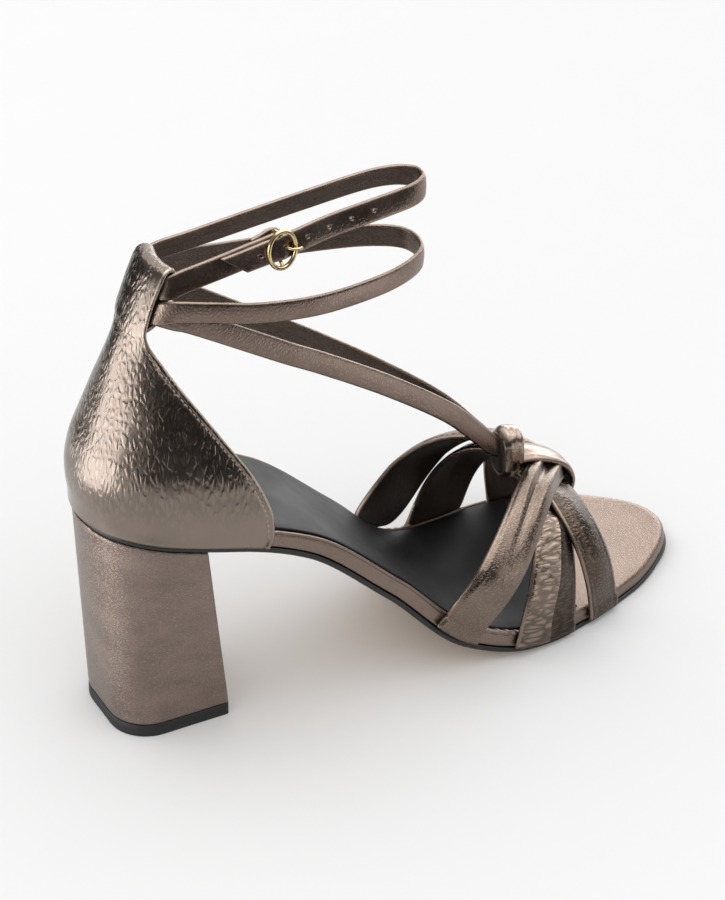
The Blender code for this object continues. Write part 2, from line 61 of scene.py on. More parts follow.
# points round each edge of a leather skin
EDGE_STEPS = 4
BODY = "root"
TURN = 2 * math.pi
Array = np.ndarray
Item = bpy.types.Object
Node = bpy.types.Node
Socket = bpy.types.NodeSocket
Pair = tuple[float, float]
Triple = tuple[float, float, float]
Four = tuple[float, float, float, float]
log = logging.getLogger("sandal")


class Side(IntEnum):
    """Side of the foot, as the sign of y."""

    OUTER = -1
    INNER = 1


class Layer(IntEnum):
    """Part of a leather skin, as the number of its finish."""

    FACE = 0
    EDGE = 1
    BACK = 2
    # a strap's panel past its crown, given a darker copy of its leather as painted shade
    TURNED = 3


class Follow(Enum):
    """What a finish's pattern lies along, as an output of Texture Coordinate."""

    SHOE = "Object"
    STRAP = "UV"


class Reach(Enum):
    """Which surfaces a softbox lights."""

    GLOSS = "gloss"
    MATT = "matt"


# Curves and surfaces


def smoothstep(value: Array | float, low: float, high: float) -> Array:
    """Ease from 0 at low to 1 at high.

    Args:
        value: where to read it.
        low: where it starts to rise.
        high: where it has risen.

    Returns:
        The eased share, of the shape of value.
    """
    share = np.clip((np.asarray(value, float) - low) / (high - low), 0.0, 1.0)
    return share * share * (3 - 2 * share)


def bump(value: Array | float, middle: Array | float, spread: float) -> Array:
    """Rounded hump of height 1 about a middle, for ribs, grooves and folds."""
    return np.exp(-(((np.asarray(value, float) - middle) / spread) ** 2))


def monotone(rows: Sequence[Sequence[float]], x: Array | float) -> Array:
    """Monotone cubic through (x, value) rows, held at the ends.

    Args:
        rows: the pairs, in rising order of x.
        x: where to read the curve.

    Returns:
        The values at x.
    """
    xs, ys = np.array(rows, float).T
    x = np.clip(np.asarray(x, float), xs[0], xs[-1])
    steps = np.diff(xs)
    slopes = np.diff(ys) / steps
    product = slopes[:-1] * slopes[1:]
    total = np.where(product > 0, slopes[:-1] + slopes[1:], 1.0)
    inner = np.where(product > 0, 2 * product / total, 0.0)
    tangents = np.concatenate([slopes[:1], inner, slopes[-1:]])
    i = np.clip(np.searchsorted(xs, x, side="right") - 1, 0, len(steps) - 1)
    t = (x - xs[i]) / steps[i]
    start = (1 + 2 * t) * (1 - t) ** 2 * ys[i] + t * (1 - t) ** 2 * steps[i] * tangents[i]
    end = t * t * (3 - 2 * t) * ys[i + 1] + t * t * (t - 1) * steps[i] * tangents[i + 1]
    return start + end


def spline(points: Sequence[Any], step: float, closed: bool = False) -> Array:
    """Smooth curve or stack of lines through given ones.

    Args:
        points: points of any number of columns, or whole lines of points.
        step: longest spacing of the result, in millimetres.
        closed: whether the last point runs on into the first.

    Returns:
        The points or lines in between, the given ones included.
    """
    rows = np.array(points, float)
    last = len(rows)
    read = []
    for i in range(last if closed else last - 1):
        start, end = rows[i], rows[(i + 1) % last]
        before = rows[i - 1] if closed or i > 0 else 2 * rows[0] - rows[1]
        after = rows[(i + 2) % last] if closed or i + 2 < last else 2 * rows[-1] - rows[-2]
        reach = np.linalg.norm((end - start)[..., :3], axis=-1).max()
        for t in np.linspace(0.0, 1.0, max(2, round(reach / step)), endpoint=False):
            cubic = (3 * start - before - 3 * end + after) * t ** 3
            square = (2 * before - 5 * start + 4 * end - after) * t ** 2
            read.append(0.5 * (2 * start + (end - before) * t + square + cubic))
    if not closed:
        read.append(rows[-1])
    return np.array(read)


def lengths(points: Array) -> Array:
    """Running length along a polyline, from 0."""
    steps = np.linalg.norm(np.diff(points[:, :3], axis=0), axis=1)
    return np.concatenate([[0.0], np.cumsum(steps)])


def read_along(run: Array, points: Array, at: Array | float) -> Array:
    """Points of a polyline at running lengths along it.

    Args:
        run: running length at each of its points.
        points: its points, of any number of columns.
        at: the lengths to read.

    Returns:
        The points, in the shape of at with the columns last.
    """
    return np.stack([np.interp(at, run, column) for column in points.T], axis=-1)


def resample(points: Array, count: int) -> Array:
    """A count of points spaced evenly by length along a polyline."""
    run = lengths(points)
    return read_along(run, points, np.linspace(0.0, run[-1], count))


def full_turn(count: int) -> Array:
    """Evenly spaced angles of a full turn."""
    return np.linspace(0.0, TURN, count, endpoint=False)


def quarter_turn(count: int) -> Array:
    """Evenly spaced angles from 0 to a right angle."""
    return np.radians(np.linspace(0.0, 90.0, count))


def unit(vectors: Array) -> Array:
    """Vectors scaled to length 1."""
    return vectors / np.maximum(np.linalg.norm(vectors, axis=-1, keepdims=True), TINY)


def squarer(value: Array, power: float) -> Array:
    """Signed power of a sine or cosine, which makes an oval squarer."""
    return np.sign(value) * np.abs(value) ** power


def along_rows(rows: Array, closed: bool) -> Array:
    """Direction from each row of a surface to the next.

    Args:
        rows: the surface's points, row by row.
        closed: whether the last row runs on into the first.

    Returns:
        Unit vectors of the same shape.
    """
    if closed:
        return unit(np.roll(rows, -1, axis=0) - np.roll(rows, 1, axis=0))
    return unit(np.gradient(rows, axis=0))


# Meshes


def into_scene(name: str, bm: bmesh.types.BMesh, finishes: Sequence["Finish"]) -> Item:
    """Put a bmesh, in metres, into the scene.

    Args:
        name: the new object's name.
        bm: its mesh, which is freed.
        finishes: one finish for each material number in the mesh.

    Returns:
        The new object, at the origin.
    """
    mesh = bpy.data.meshes.new(name)
    bm.to_mesh(mesh)
    bm.free()
    for finish in finishes:
        mesh.materials.append(finish.material())
    item = bpy.data.objects.new(name, mesh)
    bpy.context.scene.collection.objects.link(item)
    return item


def add_piece(name: str, bm: bmesh.types.BMesh, finishes: Sequence["Finish"]) -> Item:
    """Put a bmesh into the scene as a smooth piece that rides on the shoe.

    Args:
        name: the piece's name.
        bm: its mesh, in metres, which is freed.
        finishes: one finish for each material number in the mesh.

    Returns:
        The new object.
    """
    item = into_scene(name, bm, finishes)
    item.data.shade_smooth()
    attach(item, BODY)
    log.info("%s: %d faces", name, len(item.data.polygons))
    return item


def wrap(
    name: str,
    rings: Array,
    finishes: Sequence["Finish"],
    layers: Array | None = None,
    closed: bool = False,
    holes: Sequence[tuple[int, int, int]] = (),
    hole_radius: float = 0.6,
) -> Item:
    """Bend a grid round rings of points into a closed skin.

    Args:
        name: the piece's name.
        rings: points in millimetres, ring by ring along the piece.
        finishes: the finishes that layers count.
        layers: number of the finish of each face round the ring.
        closed: whether the last ring runs on into the first.
        holes: ring number, and the places round it of the two ends of a punched hole.
        hole_radius: radius of those holes.

    Returns:
        The new object. Its UV map is in metres, round the ring and along the piece.
    """
    count, around = rings.shape[:2]
    spans = count if closed else count - 1
    bm = bmesh.new()
    uv = bm.loops.layers.uv.new("UVMap")
    bmesh.ops.create_grid(bm, x_segments=around, y_segments=spans, size=0.5)
    widest = rings[count // 2]
    run_round = lengths(np.concatenate([widest, widest[:1]])) * MM
    middle_line = rings.mean(axis=1)
    if closed:
        middle_line = np.concatenate([middle_line, middle_line[:1]])
    run_along = lengths(middle_line) * MM
    place = {vert: (round((vert.co.x + 0.5) * around), round((vert.co.y + 0.5) * spans)) for vert in bm.verts}
    for face in bm.faces:
        for loop in face.loops:
            i, j = place[loop.vert]
            loop[uv].uv = (run_round[i], run_along[j])
        if layers is not None:
            face.material_index = int(layers[min(place[vert][0] for vert in face.verts)])
    at = {}
    for vert, (i, j) in place.items():
        vert.co = rings[j % count][i % around] * MM
        at[i, j] = vert
    for j, front, back in holes:
        punch(bm, at, j, (front, back), hole_radius * MM)
    bmesh.ops.remove_doubles(bm, verts=bm.verts, dist=WELD)
    ends = [edge for edge in bm.edges if edge.is_boundary]
    if ends:
        caps = bmesh.ops.holes_fill(bm, edges=ends, sides=0)["faces"]
        for cap in caps:
            cap.material_index = int(Layer.FACE)
        bmesh.ops.triangulate(bm, faces=caps)
    bmesh.ops.recalc_face_normals(bm, faces=bm.faces)
    return add_piece(name, bm, finishes)


def punch(
    bm: bmesh.types.BMesh,
    at: dict[tuple[int, int], bmesh.types.BMVert],
    j: int,
    ends: tuple[int, int],
    radius: float,
) -> None:
    """Punch a round hole through a skin.

    Args:
        bm: the skin's mesh.
        at: its vertices by place round the ring and ring number.
        j: ring number of the hole's middle.
        ends: place round the ring of the hole's two ends.
        radius: radius of the hole, in metres.
    """
    rims: list[bmesh.types.BMEdge] = []
    for i in ends:
        middle = at[i, j].co.copy()
        across = (at[i + 1, j].co - at[i - 1, j].co).normalized()
        along = (at[i, j + 1].co - at[i, j - 1].co).normalized()
        rim = [at[i + a, j + b] for a in (-1, 0, 1) for b in (-1, 0, 1) if a or b]
        for vert in rim:
            away = vert.co - middle
            turn = math.atan2(away.dot(along), away.dot(across))
            vert.co = middle + radius * (math.cos(turn) * across + math.sin(turn) * along)
        inside = set(at[i, j].link_edges)
        faces = list(at[i, j].link_faces)
        rims += {edge for face in faces for edge in face.edges} - inside
        bmesh.ops.delete(bm, geom=[at[i, j]], context="VERTS")
    walls = bmesh.ops.bridge_loops(bm, edges=rims)["faces"]
    for wall in walls:
        wall.material_index = int(Layer.EDGE)


def skin(
    rows: Array,
    thickness: float,
    outward: int = 1,
    closed: bool = False,
    relief: Array | float = 0.0,
    back_relief: Array | float = 0.0,
) -> tuple[Array, Array]:
    """Give a sheet of points the thickness of leather, with rounded edges.

    Args:
        rows: middle of the leather, row by row, across each row from edge to edge.
        thickness: thickness of the leather.
        outward: which side of the sheet is the face, 1 or -1.
        closed: whether the last row runs on into the first.
        relief: how far the face stands proud of its plain thickness.
        back_relief: the same for the back.

    Returns:
        Rings of points for wrap, and the layer of each face round them.
    """
    forward = along_rows(rows, closed)
    across = unit(np.gradient(rows, axis=1))
    normal = outward * unit(np.cross(forward, across))
    half = thickness / 2
    face = rows + normal * (half + np.broadcast_to(relief, rows.shape[:2]))[..., None]
    back = rows - normal * (half + np.broadcast_to(back_relief, rows.shape[:2]))[..., None]
    turns = np.linspace(0.0, math.pi, EDGE_STEPS + 2)[1:-1]

    def edge(column: int, sign: int, order: Array) -> Array:
        """Round edge between the face and the back at one end of the rows.

        Args:
            column: column of that end.
            sign: 1 where the edge bulges on across the row, -1 where it bulges back.
            order: angles from the face, in the ring's order.

        Returns:
            Points of the edge, row by row.
        """
        top, low = face[:, column], back[:, column]
        middle = (top + low) / 2
        rise = (top - low) / 2
        reach = np.linalg.norm(rise, axis=1, keepdims=True)
        out = sign * across[:, column] * reach
        return np.stack([middle + rise * math.cos(a) + out * math.sin(a) for a in order], axis=1)

    rings = np.concatenate([face, edge(-1, 1, turns), back[:, ::-1], edge(0, -1, turns[::-1])], axis=1)
    columns = rows.shape[1]
    layers = np.full(rings.shape[1], int(Layer.EDGE))
    layers[: columns - 1] = int(Layer.FACE)
    start = columns + EDGE_STEPS
    layers[start : start + columns - 1] = int(Layer.BACK)
    return rings, layers


def wire(name: str, path: Array, radius: Array | float, finish: "Finish", closed: bool = False,
         sides: int = 14) -> Item:
    """Round wire along a path.

    Args:
        name: the piece's name.
        path: points of its middle line.
        radius: half its thickness, all along or at each point.
        finish: its finish.
        closed: whether the wire is a ring.
        sides: points round the wire.

    Returns:
        The new object.
    """
    forward = along_rows(path, closed)
    first = np.array(Vector(forward[0]).orthogonal())
    sideways = []
    for direction in forward:
        first = first - direction * first.dot(direction)
        first = first / np.linalg.norm(first)
        sideways.append(first)
    side = np.array(sideways)[:, None]
    other = np.cross(forward, np.array(sideways))[:, None]
    turns = full_turn(sides)[None, :, None]
    rings = path[:, None] + np.reshape(radius, (-1, 1, 1)) * (np.cos(turns) * side + np.sin(turns) * other)
    return wrap(name, rings, [finish], closed=closed)


def stitches(name: str, seams: Sequence[tuple[Array, Array]], pitch: float, finish: "Finish") -> Item:
    """Rows of sewn stitches lying on leather.

    Args:
        name: the piece's name.
        seams: points of each seam, and the leather's outward direction there.
        pitch: length of one stitch with its gap.
        finish: finish of the thread.

    Returns:
        One object that holds every stitch.
    """
    half_width = 0.24
    half_sizes = (0.36 * pitch, half_width, 0.8 * half_width, 1.0)
    lift = 0.3 * half_width
    look_ahead = 0.3
    bm = bmesh.new()
    for points, normals in seams:
        run = lengths(points)
        for middle in np.arange(pitch, run[-1] - pitch / 2, pitch):
            spot = Vector(read_along(run, points, middle))
            ahead = Vector(read_along(run, points, middle + look_ahead))
            out = Vector(read_along(run, normals, middle)).normalized()
            forward = (ahead - spot).normalized()
            turn = Matrix((forward, out.cross(forward), out)).transposed().to_4x4()
            matrix = Matrix.Translation((spot + out * lift) * MM) @ turn @ Matrix.Diagonal(half_sizes)
            bmesh.ops.create_uvsphere(bm, u_segments=8, v_segments=6, radius=MM, matrix=matrix)
    return add_piece(name, bm, [finish])


# Finishes


def linear(hex_colour: str) -> Four:
    """Scene-linear colour of an sRGB hex value."""
    shares = [int(hex_colour[i : i + 2], 16) / 255 for i in (1, 3, 5)]
    return (*[c / 12.92 if c <= 0.04045 else ((c + 0.055) / 1.055) ** 2.4 for c in shares], 1.0)


class Graph:
    """Node tree of a finish or of the room."""

    def __init__(self, tree: bpy.types.NodeTree) -> None:
        """Hold the tree that nodes are added to."""
        self.tree = tree

    def add(self, kind: str, links: dict[Any, Any] | None = None, **settings: Any) -> Node:
        """Add a node.

        Args:
            kind: its type's name after ShaderNode.
            links: value of an input, or the output it is linked to, by name or number.
            settings: the node's own settings.

        Returns:
            The new node.
        """
        node = self.tree.nodes.new("ShaderNode" + kind)
        for key, value in settings.items():
            setattr(node, key, value)
        self.feed(node, links or {})
        return node

    def feed(self, node: Node, links: dict[Any, Any]) -> None:
        """Set inputs of a node, or link them to outputs.

        Args:
            node: the node.
            links: value of an input, or the output it is linked to, by name or number.
        """
        for key, value in links.items():
            if isinstance(value, Socket):
                self.tree.links.new(value, node.inputs[key])
            else:
                node.inputs[key].default_value = value

    def noise(self, where: Socket, scale: float, detail: float) -> Node:
        """Add a cloudy pattern."""
        return self.add("TexNoise", {"Vector": where, "Scale": scale, "Detail": detail})

    def times_plus(self, value: Any, factor: float, base: Any) -> Socket:
        """Add a value, times a factor, to a base."""
        return self.add("Math", {0: value, 1: factor, 2: base}, operation="MULTIPLY_ADD").outputs[0]

    def carry(
        self, value: Any, span: Pair, onto: tuple[Any, Any] = (0.0, 1.0), easing: str = "LINEAR",
    ) -> Socket:
        """Carry a value from one range onto another.

        Args:
            value: the value's output.
            span: the range that it comes from.
            onto: the range that it goes to, each end a value or an output.
            easing: kind of the curve between the ends.

        Returns:
            The carried value.
        """
        links = {"Value": value, "From Min": span[0], "From Max": span[1]}
        links |= {"To Min": onto[0], "To Max": onto[1]}
        return self.add("MapRange", links, interpolation_type=easing).outputs["Result"]


@dataclass(frozen=True)
class Finish:
    """A finish: its name, its colours and how it takes the light."""

    name: str
    tone: str
    deep_tone: str
    roughness: float = 0.5
    metallic: float = 0.0
    coat: float = 0.0
    specular: float = 0.5
    coat_roughness: float = 0.25
    roughness_spread: float = 0.06
    depth: float = 0.05
    # values of the slow noise between which the gloss moves
    cloud_range: Pair = (0.3, 0.7)

    def material(self) -> bpy.types.Material:
        """Make the material where it is not made already.

        Returns:
            The material.
        """
        found = bpy.data.materials.get(self.name)
        if found:
            return found
        material = bpy.data.materials.new(self.name)
        material.use_nodes = True
        material.diffuse_color = linear(self.tone)
        graph = Graph(material.node_tree)
        shader = material.node_tree.nodes["Principled BSDF"]
        graph.feed(shader, {
            "Metallic": self.metallic, "Roughness": self.roughness, "Specular IOR Level": self.specular,
            "Coat Weight": self.coat, "Coat Roughness": self.coat_roughness,
        })
        self.paint(graph, shader)
        return material

    def paint(self, graph: Graph, shader: Node) -> None:
        """Add the finish's pattern to its shader."""
        raise NotImplementedError

    def lay(self, graph: Graph, shader: Node, blend: Socket, cloud: Socket, height: Socket) -> None:
        """Link tone, gloss and relief to the shader.

        Args:
            graph: the finish's nodes.
            shader: its shader.
            blend: share of the lighter tone.
            cloud: slow noise that moves the gloss.
            height: height of the relief.
        """
        tones = {0: blend, 6: linear(self.deep_tone), 7: linear(self.tone)}
        colour = graph.add("Mix", tones, data_type="RGBA").outputs[2]
        spread = self.roughness_spread
        gloss = graph.carry(cloud, self.cloud_range, (self.roughness - spread, self.roughness + spread))
        relief = graph.add("Bump", {"Height": height, "Strength": 1.0, "Distance": self.depth * MM})
        graph.feed(shader, {"Base Color": colour, "Roughness": gloss, "Normal": relief.outputs["Normal"]})


@dataclass(frozen=True)
class GrainedLeather(Finish):
    """Calf leather embossed with a pebble grain and laminated with a bronze foil.

    The foil mirrors the room softly and each pebble catches its own light; the tone is
    painted darker in the creases between the pebbles, as painted shade. Scales and the crease are counted in
    pebbles.
    """

    pebble: Triple = (1.1, 1.1, 2.6)
    follow: Follow = Follow.SHOE
    # heights over the sloping seat between which the lasted-out grain comes back
    fade: Pair | None = None
    seat_slope: float = 0.12
    lasted_level: float = 0.9
    crease: float = 0.36
    drift_scale: float = 0.7
    wrinkle_scale: float = 0.8
    wrinkle_share: float = 0.5
    cloud_scale: float = 0.08
    # how much darker the creases are painted, as painted shade
    painted_crease_shade: float = 0.35
    tone_range: Pair = (0.35, 0.9)

    def paint(self, graph: Graph, shader: Node) -> None:
        """Add pebbles, wrinkles, cloudy tone with painted shade in the creases, and uneven gloss.

        Args:
            graph: the finish's nodes.
            shader: its shader.
        """
        where = graph.add("TexCoord").outputs[self.follow.value]
        scale = tuple(1 / (size * MM) for size in self.pebble)
        grid = graph.add("Mapping", {"Vector": where, "Scale": scale}).outputs["Vector"]
        drift = graph.noise(grid, self.drift_scale, detail=2.0).outputs["Color"]
        moved = graph.add("VectorMath", {0: grid, 1: drift}, operation="ADD").outputs[0]
        cells = graph.add("TexVoronoi", {"Vector": moved, "Scale": 1.0}, feature="DISTANCE_TO_EDGE")
        lowest: Socket | float = 0.0
        if self.fade:
            up = (self.seat_slope, 0.0, 1.0)
            over_seat = graph.add("VectorMath", {0: where, 1: up}, operation="DOT_PRODUCT").outputs["Value"]
            start, end = self.fade
            lowest = graph.carry(over_seat, (start * MM, end * MM), (self.lasted_level, 0.0), "SMOOTHSTEP")
        pebbles = graph.carry(cells.outputs["Distance"], (0.0, self.crease), (lowest, 1.0), "SMOOTHERSTEP")
        wrinkles = graph.noise(grid, self.wrinkle_scale, detail=2.0).outputs["Fac"]
        height = graph.times_plus(wrinkles, self.wrinkle_share, pebbles)
        cloud = graph.noise(grid, self.cloud_scale, detail=4.0).outputs["Fac"]
        # painted shade: the tone is darker in the creases between the pebbles
        shade = graph.times_plus(pebbles, self.painted_crease_shade, cloud)
        self.lay(graph, shader, graph.carry(shade, self.tone_range), cloud, height)


@dataclass(frozen=True)
class PlainStock(Finish):
    """Stock with a fine even surface: lining, rubber, sole leather, metal, thread or paper.

    A fine noise breaks the light, and a slow one moves the tone a little.
    """

    grain: float = 0.5
    cloud_grains: float = 18.0
    grain_shade: float = 0.4
    tone_range: Pair = (0.4, 1.0)

    def paint(self, graph: Graph, shader: Node) -> None:
        """Add fine grain, cloudy tone and uneven gloss.

        Args:
            graph: the finish's nodes.
            shader: its shader.
        """
        where = graph.add("TexCoord").outputs["Object"]
        scale = 1 / (self.grain * MM)
        fine = graph.noise(where, scale, detail=3.0).outputs["Fac"]
        cloud = graph.noise(where, scale / self.cloud_grains, detail=3.0).outputs["Fac"]
        shade = graph.times_plus(fine, self.grain_shade, cloud)
        self.lay(graph, shader, graph.carry(shade, self.tone_range), cloud, fine)


COUNTER_LEATHER = GrainedLeather("pebbled_bronze_leather", "#83766d", "#71665d", 0.27, 1.0, 0.35,
                                 pebble=(1.8, 1.8, 5.2), depth=0.11, fade=(83.0, 95.0))
STRAP_LEATHER = GrainedLeather("strap_bronze_leather", "#87766d", "#716259", 0.30, 1.0,
                               pebble=(1.5, 1.1, 1.0), follow=Follow.STRAP, depth=0.035)
VAMP_LEATHER = GrainedLeather("vamp_bronze_leather", "#84756a", "#6a5c52", 0.25, 1.0, 0.2,
                              pebble=(1.5, 1.1, 1.0), follow=Follow.STRAP, depth=0.05)
# Lighter copy of the vamp leather for the middle strap's lit panel: painted light, with painted highlights on
# the crests and painted shade in the deep creases.
PINCHED_LIT_LEATHER = GrainedLeather("painted_light_pinched_leather", "#9c8b7e", "#4f433a", 0.25, 1.0, 0.2,
                                 pebble=(3.0, 1.7, 1.0), follow=Follow.STRAP, depth=0.11)
# Darker copy of the vamp leather for the middle strap's panel past the crown: painted shade.
PINCHED_SHADED_LEATHER = GrainedLeather("painted_shade_pinched_leather", "#54463c", "#2c241e", 0.27, 1.0, 0.2,
                                pebble=(2.8, 1.3, 1.0), follow=Follow.STRAP, depth=0.10)
STRETCHED_LEATHER = GrainedLeather("stretched_vamp_leather", "#5f5147", "#42372f", 0.26, 1.0, 0.2,
                                   pebble=(3.0, 1.4, 1.0), follow=Follow.STRAP, depth=0.10)
KNOT_LEATHER = GrainedLeather("knot_bronze_leather", "#9a8a80", "#867669", 0.24, 1.0, 0.2,
                              pebble=(1.6, 1.2, 1.0), follow=Follow.STRAP, depth=0.02)
HEEL_COVER = GrainedLeather("heel_cover_leather", "#928279", "#766962", 0.36, 1.0,
                            pebble=(1.2, 1.2, 0.6), depth=0.05)
BOARD_COVER = GrainedLeather("board_cover_leather", "#8a7a70", "#807067", 0.34, 1.0,
                             pebble=(0.8, 0.8, 0.8), depth=0.05)
# Inner faces of the ankle straps: the same bronze leather, rougher, with its tone painted darker as painted
# shade.
SHADED_STRAP_BACK = GrainedLeather("strap_back_painted_shade", "#6e6058", "#564a44", 0.42, 0.9,
                            pebble=(0.5, 1.6, 1.0), follow=Follow.STRAP, depth=0.06)
FOLDED_EDGE = GrainedLeather("folded_strap_edge", "#98877b", "#7d6e64", 0.30, 1.0,
                             pebble=(0.6, 0.6, 0.6), depth=0.03)
# Lighter copy of the folded edge for the counter's front edge: a painted highlight along it.
HIGHLIGHT_COUNTER_EDGE = GrainedLeather("counter_edge_painted_highlight", "#b9a99c", "#a29387", 0.3, 1.0,
                              pebble=(0.6, 0.6, 0.6), depth=0.03)
VAMP_LINING = PlainStock("black_strap_lining", "#41352d", "#191411", 0.45, 0.3, grain=1.2, depth=0.14)
COUNTER_LINING = PlainStock("brown_counter_lining", "#4a3f3a", "#332b28", 0.5, 0.3, grain=0.8, depth=0.05)
SOCK = PlainStock("black_sock_leather", "#1d1c1d", "#131213", 0.5, specular=0.18, grain=0.8, depth=0.04)
SOLE_EDGE = PlainStock("black_sole_edge", "#151313", "#0b0a0a", 0.38, grain=0.6, depth=0.03)
SOLE_TREAD = PlainStock("tan_sole_leather", "#c2a888", "#a98c6b", 0.55, grain=0.9, depth=0.04)
TOP_PIECE = PlainStock("black_top_piece_rubber", "#1a1919", "#0e0d0d", 0.55, grain=0.5, depth=0.05)
GOLD = PlainStock("pale_gold_plate", "#dcc8a0", "#bfa678", 0.18, 1.0, grain=0.7, depth=0.008)
THREAD = PlainStock("bronze_thread", "#b9a899", "#8a7a6d", 0.45, 0.2, grain=0.3, depth=0.05)
FLOOR = PlainStock("white_paper_sweep", "#f4f4f4", "#f2f2f2", 0.8, specular=0.0, grain=40.0, depth=0.0)


# The last


@dataclass(frozen=True)
class Last:
    """Form that the shoe is made on: sections from the heel's end to the toe's tip."""

    # x, middle of the section, half its width, height of the footbed's edge
    sections: tuple[Four, ...] = (
        (-21.7, -0.5, 0.0, 87.0),
        (-17.4, -0.5, 14.0, 86.0),
        (-1.0, -0.6, 23.9, 82.2),
        (21.2, -0.6, 27.2, 76.8),
        (47.9, -1.2, 26.5, 65.0),
        (76.7, -2.9, 27.3, 39.8),
        (101.2, -2.9, 31.8, 15.6),
        (123.4, -0.1, 36.2, 7.9),
        (134.0, 1.6, 36.5, 7.0),
        (145.6, 3.1, 35.2, 7.0),
        (167.8, 4.7, 28.9, 7.0),
        (185.5, 4.0, 16.9, 7.6),
        (194.4, 2.5, 0.0, 8.6),
    )
    end_trim: float = 0.014
    toe_trim: float = 0.004
    ridge: tuple[Pair, ...] = (
        (90.0, 59.0), (110.0, 54.0), (134.0, 48.2), (145.0, 42.4), (155.0, 35.4), (175.0, 25.5),
    )
    squareness: float = 2.3
    full_lift_rise: float = 0.55
    lasted_margin: float = 1.3
    lasted_depth: float = 4.6
    # x between which the back of the heel swells
    swell_range: Pair = (-12.0, -23.0)

    def turn_of(self, x: Array | float) -> Array:
        """Share of the half turn that lands on x.

        Args:
            x: where along the shoe.

        Returns:
            The share, 0 at the heel and 1 at the toe.
        """
        start, end = self.sections[0][0], self.sections[-1][0]
        share = np.clip((np.asarray(x, float) - start) / (end - start), 0.0, 1.0)
        return np.arccos(1 - 2 * share) / math.pi

    def plain_edge(self, u: Array, side: int) -> tuple[Array, Array]:
        """Outline of the sole in plan.

        Args:
            u: shares of the half turn.
            side: side of the foot.

        Returns:
            x and y of the outline.
        """
        start, end = self.sections[0][0], self.sections[-1][0]
        turns = [float(self.turn_of(row[0])) for row in self.sections]
        middle = monotone([(t, row[1]) for t, row in zip(turns, self.sections)], u)
        half = monotone([(t, row[2]) for t, row in zip(turns, self.sections)], u)
        return start + (end - start) * (1 - np.cos(math.pi * np.asarray(u))) / 2, middle + side * half

    def edge(self, u: Array, side: int, margin: Array | float) -> tuple[Array, Array]:
        """Outline in plan moved outwards by a margin.

        Args:
            u: shares of the half turn.
            side: side of the foot.
            margin: how far it is moved.

        Returns:
            x and y of the moved outline.
        """
        step = 0.004
        x0, y0 = self.plain_edge(np.maximum(np.asarray(u) - step, 0.0), side)
        x1, y1 = self.plain_edge(np.minimum(np.asarray(u) + step, 1.0), side)
        length = np.hypot(x1 - x0, y1 - y0)
        x, y = self.plain_edge(u, side)
        return x - side * margin * (y1 - y0) / length, y + side * margin * (x1 - x0) / length

    def bed(self, x: Array | float) -> tuple[Array, Array, Array]:
        """Footbed in the shoe's long plane.

        Args:
            x: where along the shoe.

        Returns:
            Its height, and x and z of its unit normal.
        """
        rows = [(row[0], row[3]) for row in self.sections]
        step = 0.5
        at = np.clip(x, rows[0][0] + step, rows[-1][0] - step)
        slope = (monotone(rows, at + step) - monotone(rows, at - step)) / (2 * step)
        length = np.hypot(1.0, slope)
        return monotone(rows, x), -slope / length, 1 / length

    def at(self, u: Array, side: int, margin: Array | float, depth: Array | float) -> Array:
        """Points at a depth below the footbed on the outline moved out by a margin.

        Args:
            u: shares of the half turn.
            side: side of the foot.
            margin: how far out of the outline.
            depth: how far below the footbed.

        Returns:
            The points, one a row.
        """
        x, y = self.edge(u, side, margin)
        height, normal_x, normal_z = self.bed(x)
        return np.stack([x - normal_x * depth, y, height - normal_z * depth], axis=-1)

    def round_heel(self, front: float, count: int, margin: float, depth: float, swell: float = 0.0) -> Array:
        """Line round the sole's heel, from its outer end by the back to its inner end.

        Args:
            front: x of both ends.
            count: points on each side.
            margin: how far out of the outline.
            depth: how far below the footbed.
            swell: how much further out at the very back.

        Returns:
            Points of the line.
        """
        shares = np.linspace(float(self.turn_of(front)), self.end_trim / 2, count)
        reach = margin + swell * smoothstep(self.plain_edge(shares, Side.OUTER)[0], *self.swell_range)
        outer = self.at(shares, Side.OUTER, reach, depth)
        inner = self.at(shares[::-1], Side.INNER, reach[::-1], depth)
        return np.concatenate([outer, inner])

    def over_toes(self, x: Array, turn: Array, lift: float) -> Array:
        """Points of the last's skin over the toes.

        Args:
            x: where along the shoe.
            turn: angle from the outer edge (0) over the ridge to the inner edge.
            lift: how far above the skin.

        Returns:
            The points, in the shape of x.
        """
        u = self.turn_of(x)
        level = self.bed(x)[0]
        side = np.where(turn < math.pi / 2, -1, 1)
        outer = self.edge(u, Side.OUTER, self.lasted_margin)[1]
        inner = self.edge(u, Side.INNER, self.lasted_margin)[1]
        reach = np.where(side < 0, outer, inner)
        power = 2 / self.squareness
        across = np.abs(np.cos(turn)) ** power
        rise = np.clip(np.sin(turn), 0.0, 1.0) ** power
        raised = lift * np.minimum(1.0, rise / self.full_lift_rise)
        height = level + (monotone(self.ridge, x) - level + raised) * rise
        return np.stack([x, (reach + side * raised) * across, height], axis=-1)


# Sub-assemblies


@dataclass(frozen=True)
class Fold:
    """A rib or groove across a value, and for toe straps the rise over which it grows."""

    place: float
    height: float
    spread: float
    start: float = -0.2
    full: float = -0.1

    def over(self, value: Array) -> Array:
        """Height of the fold at each value."""
        return self.height * bump(value, self.place, self.spread)


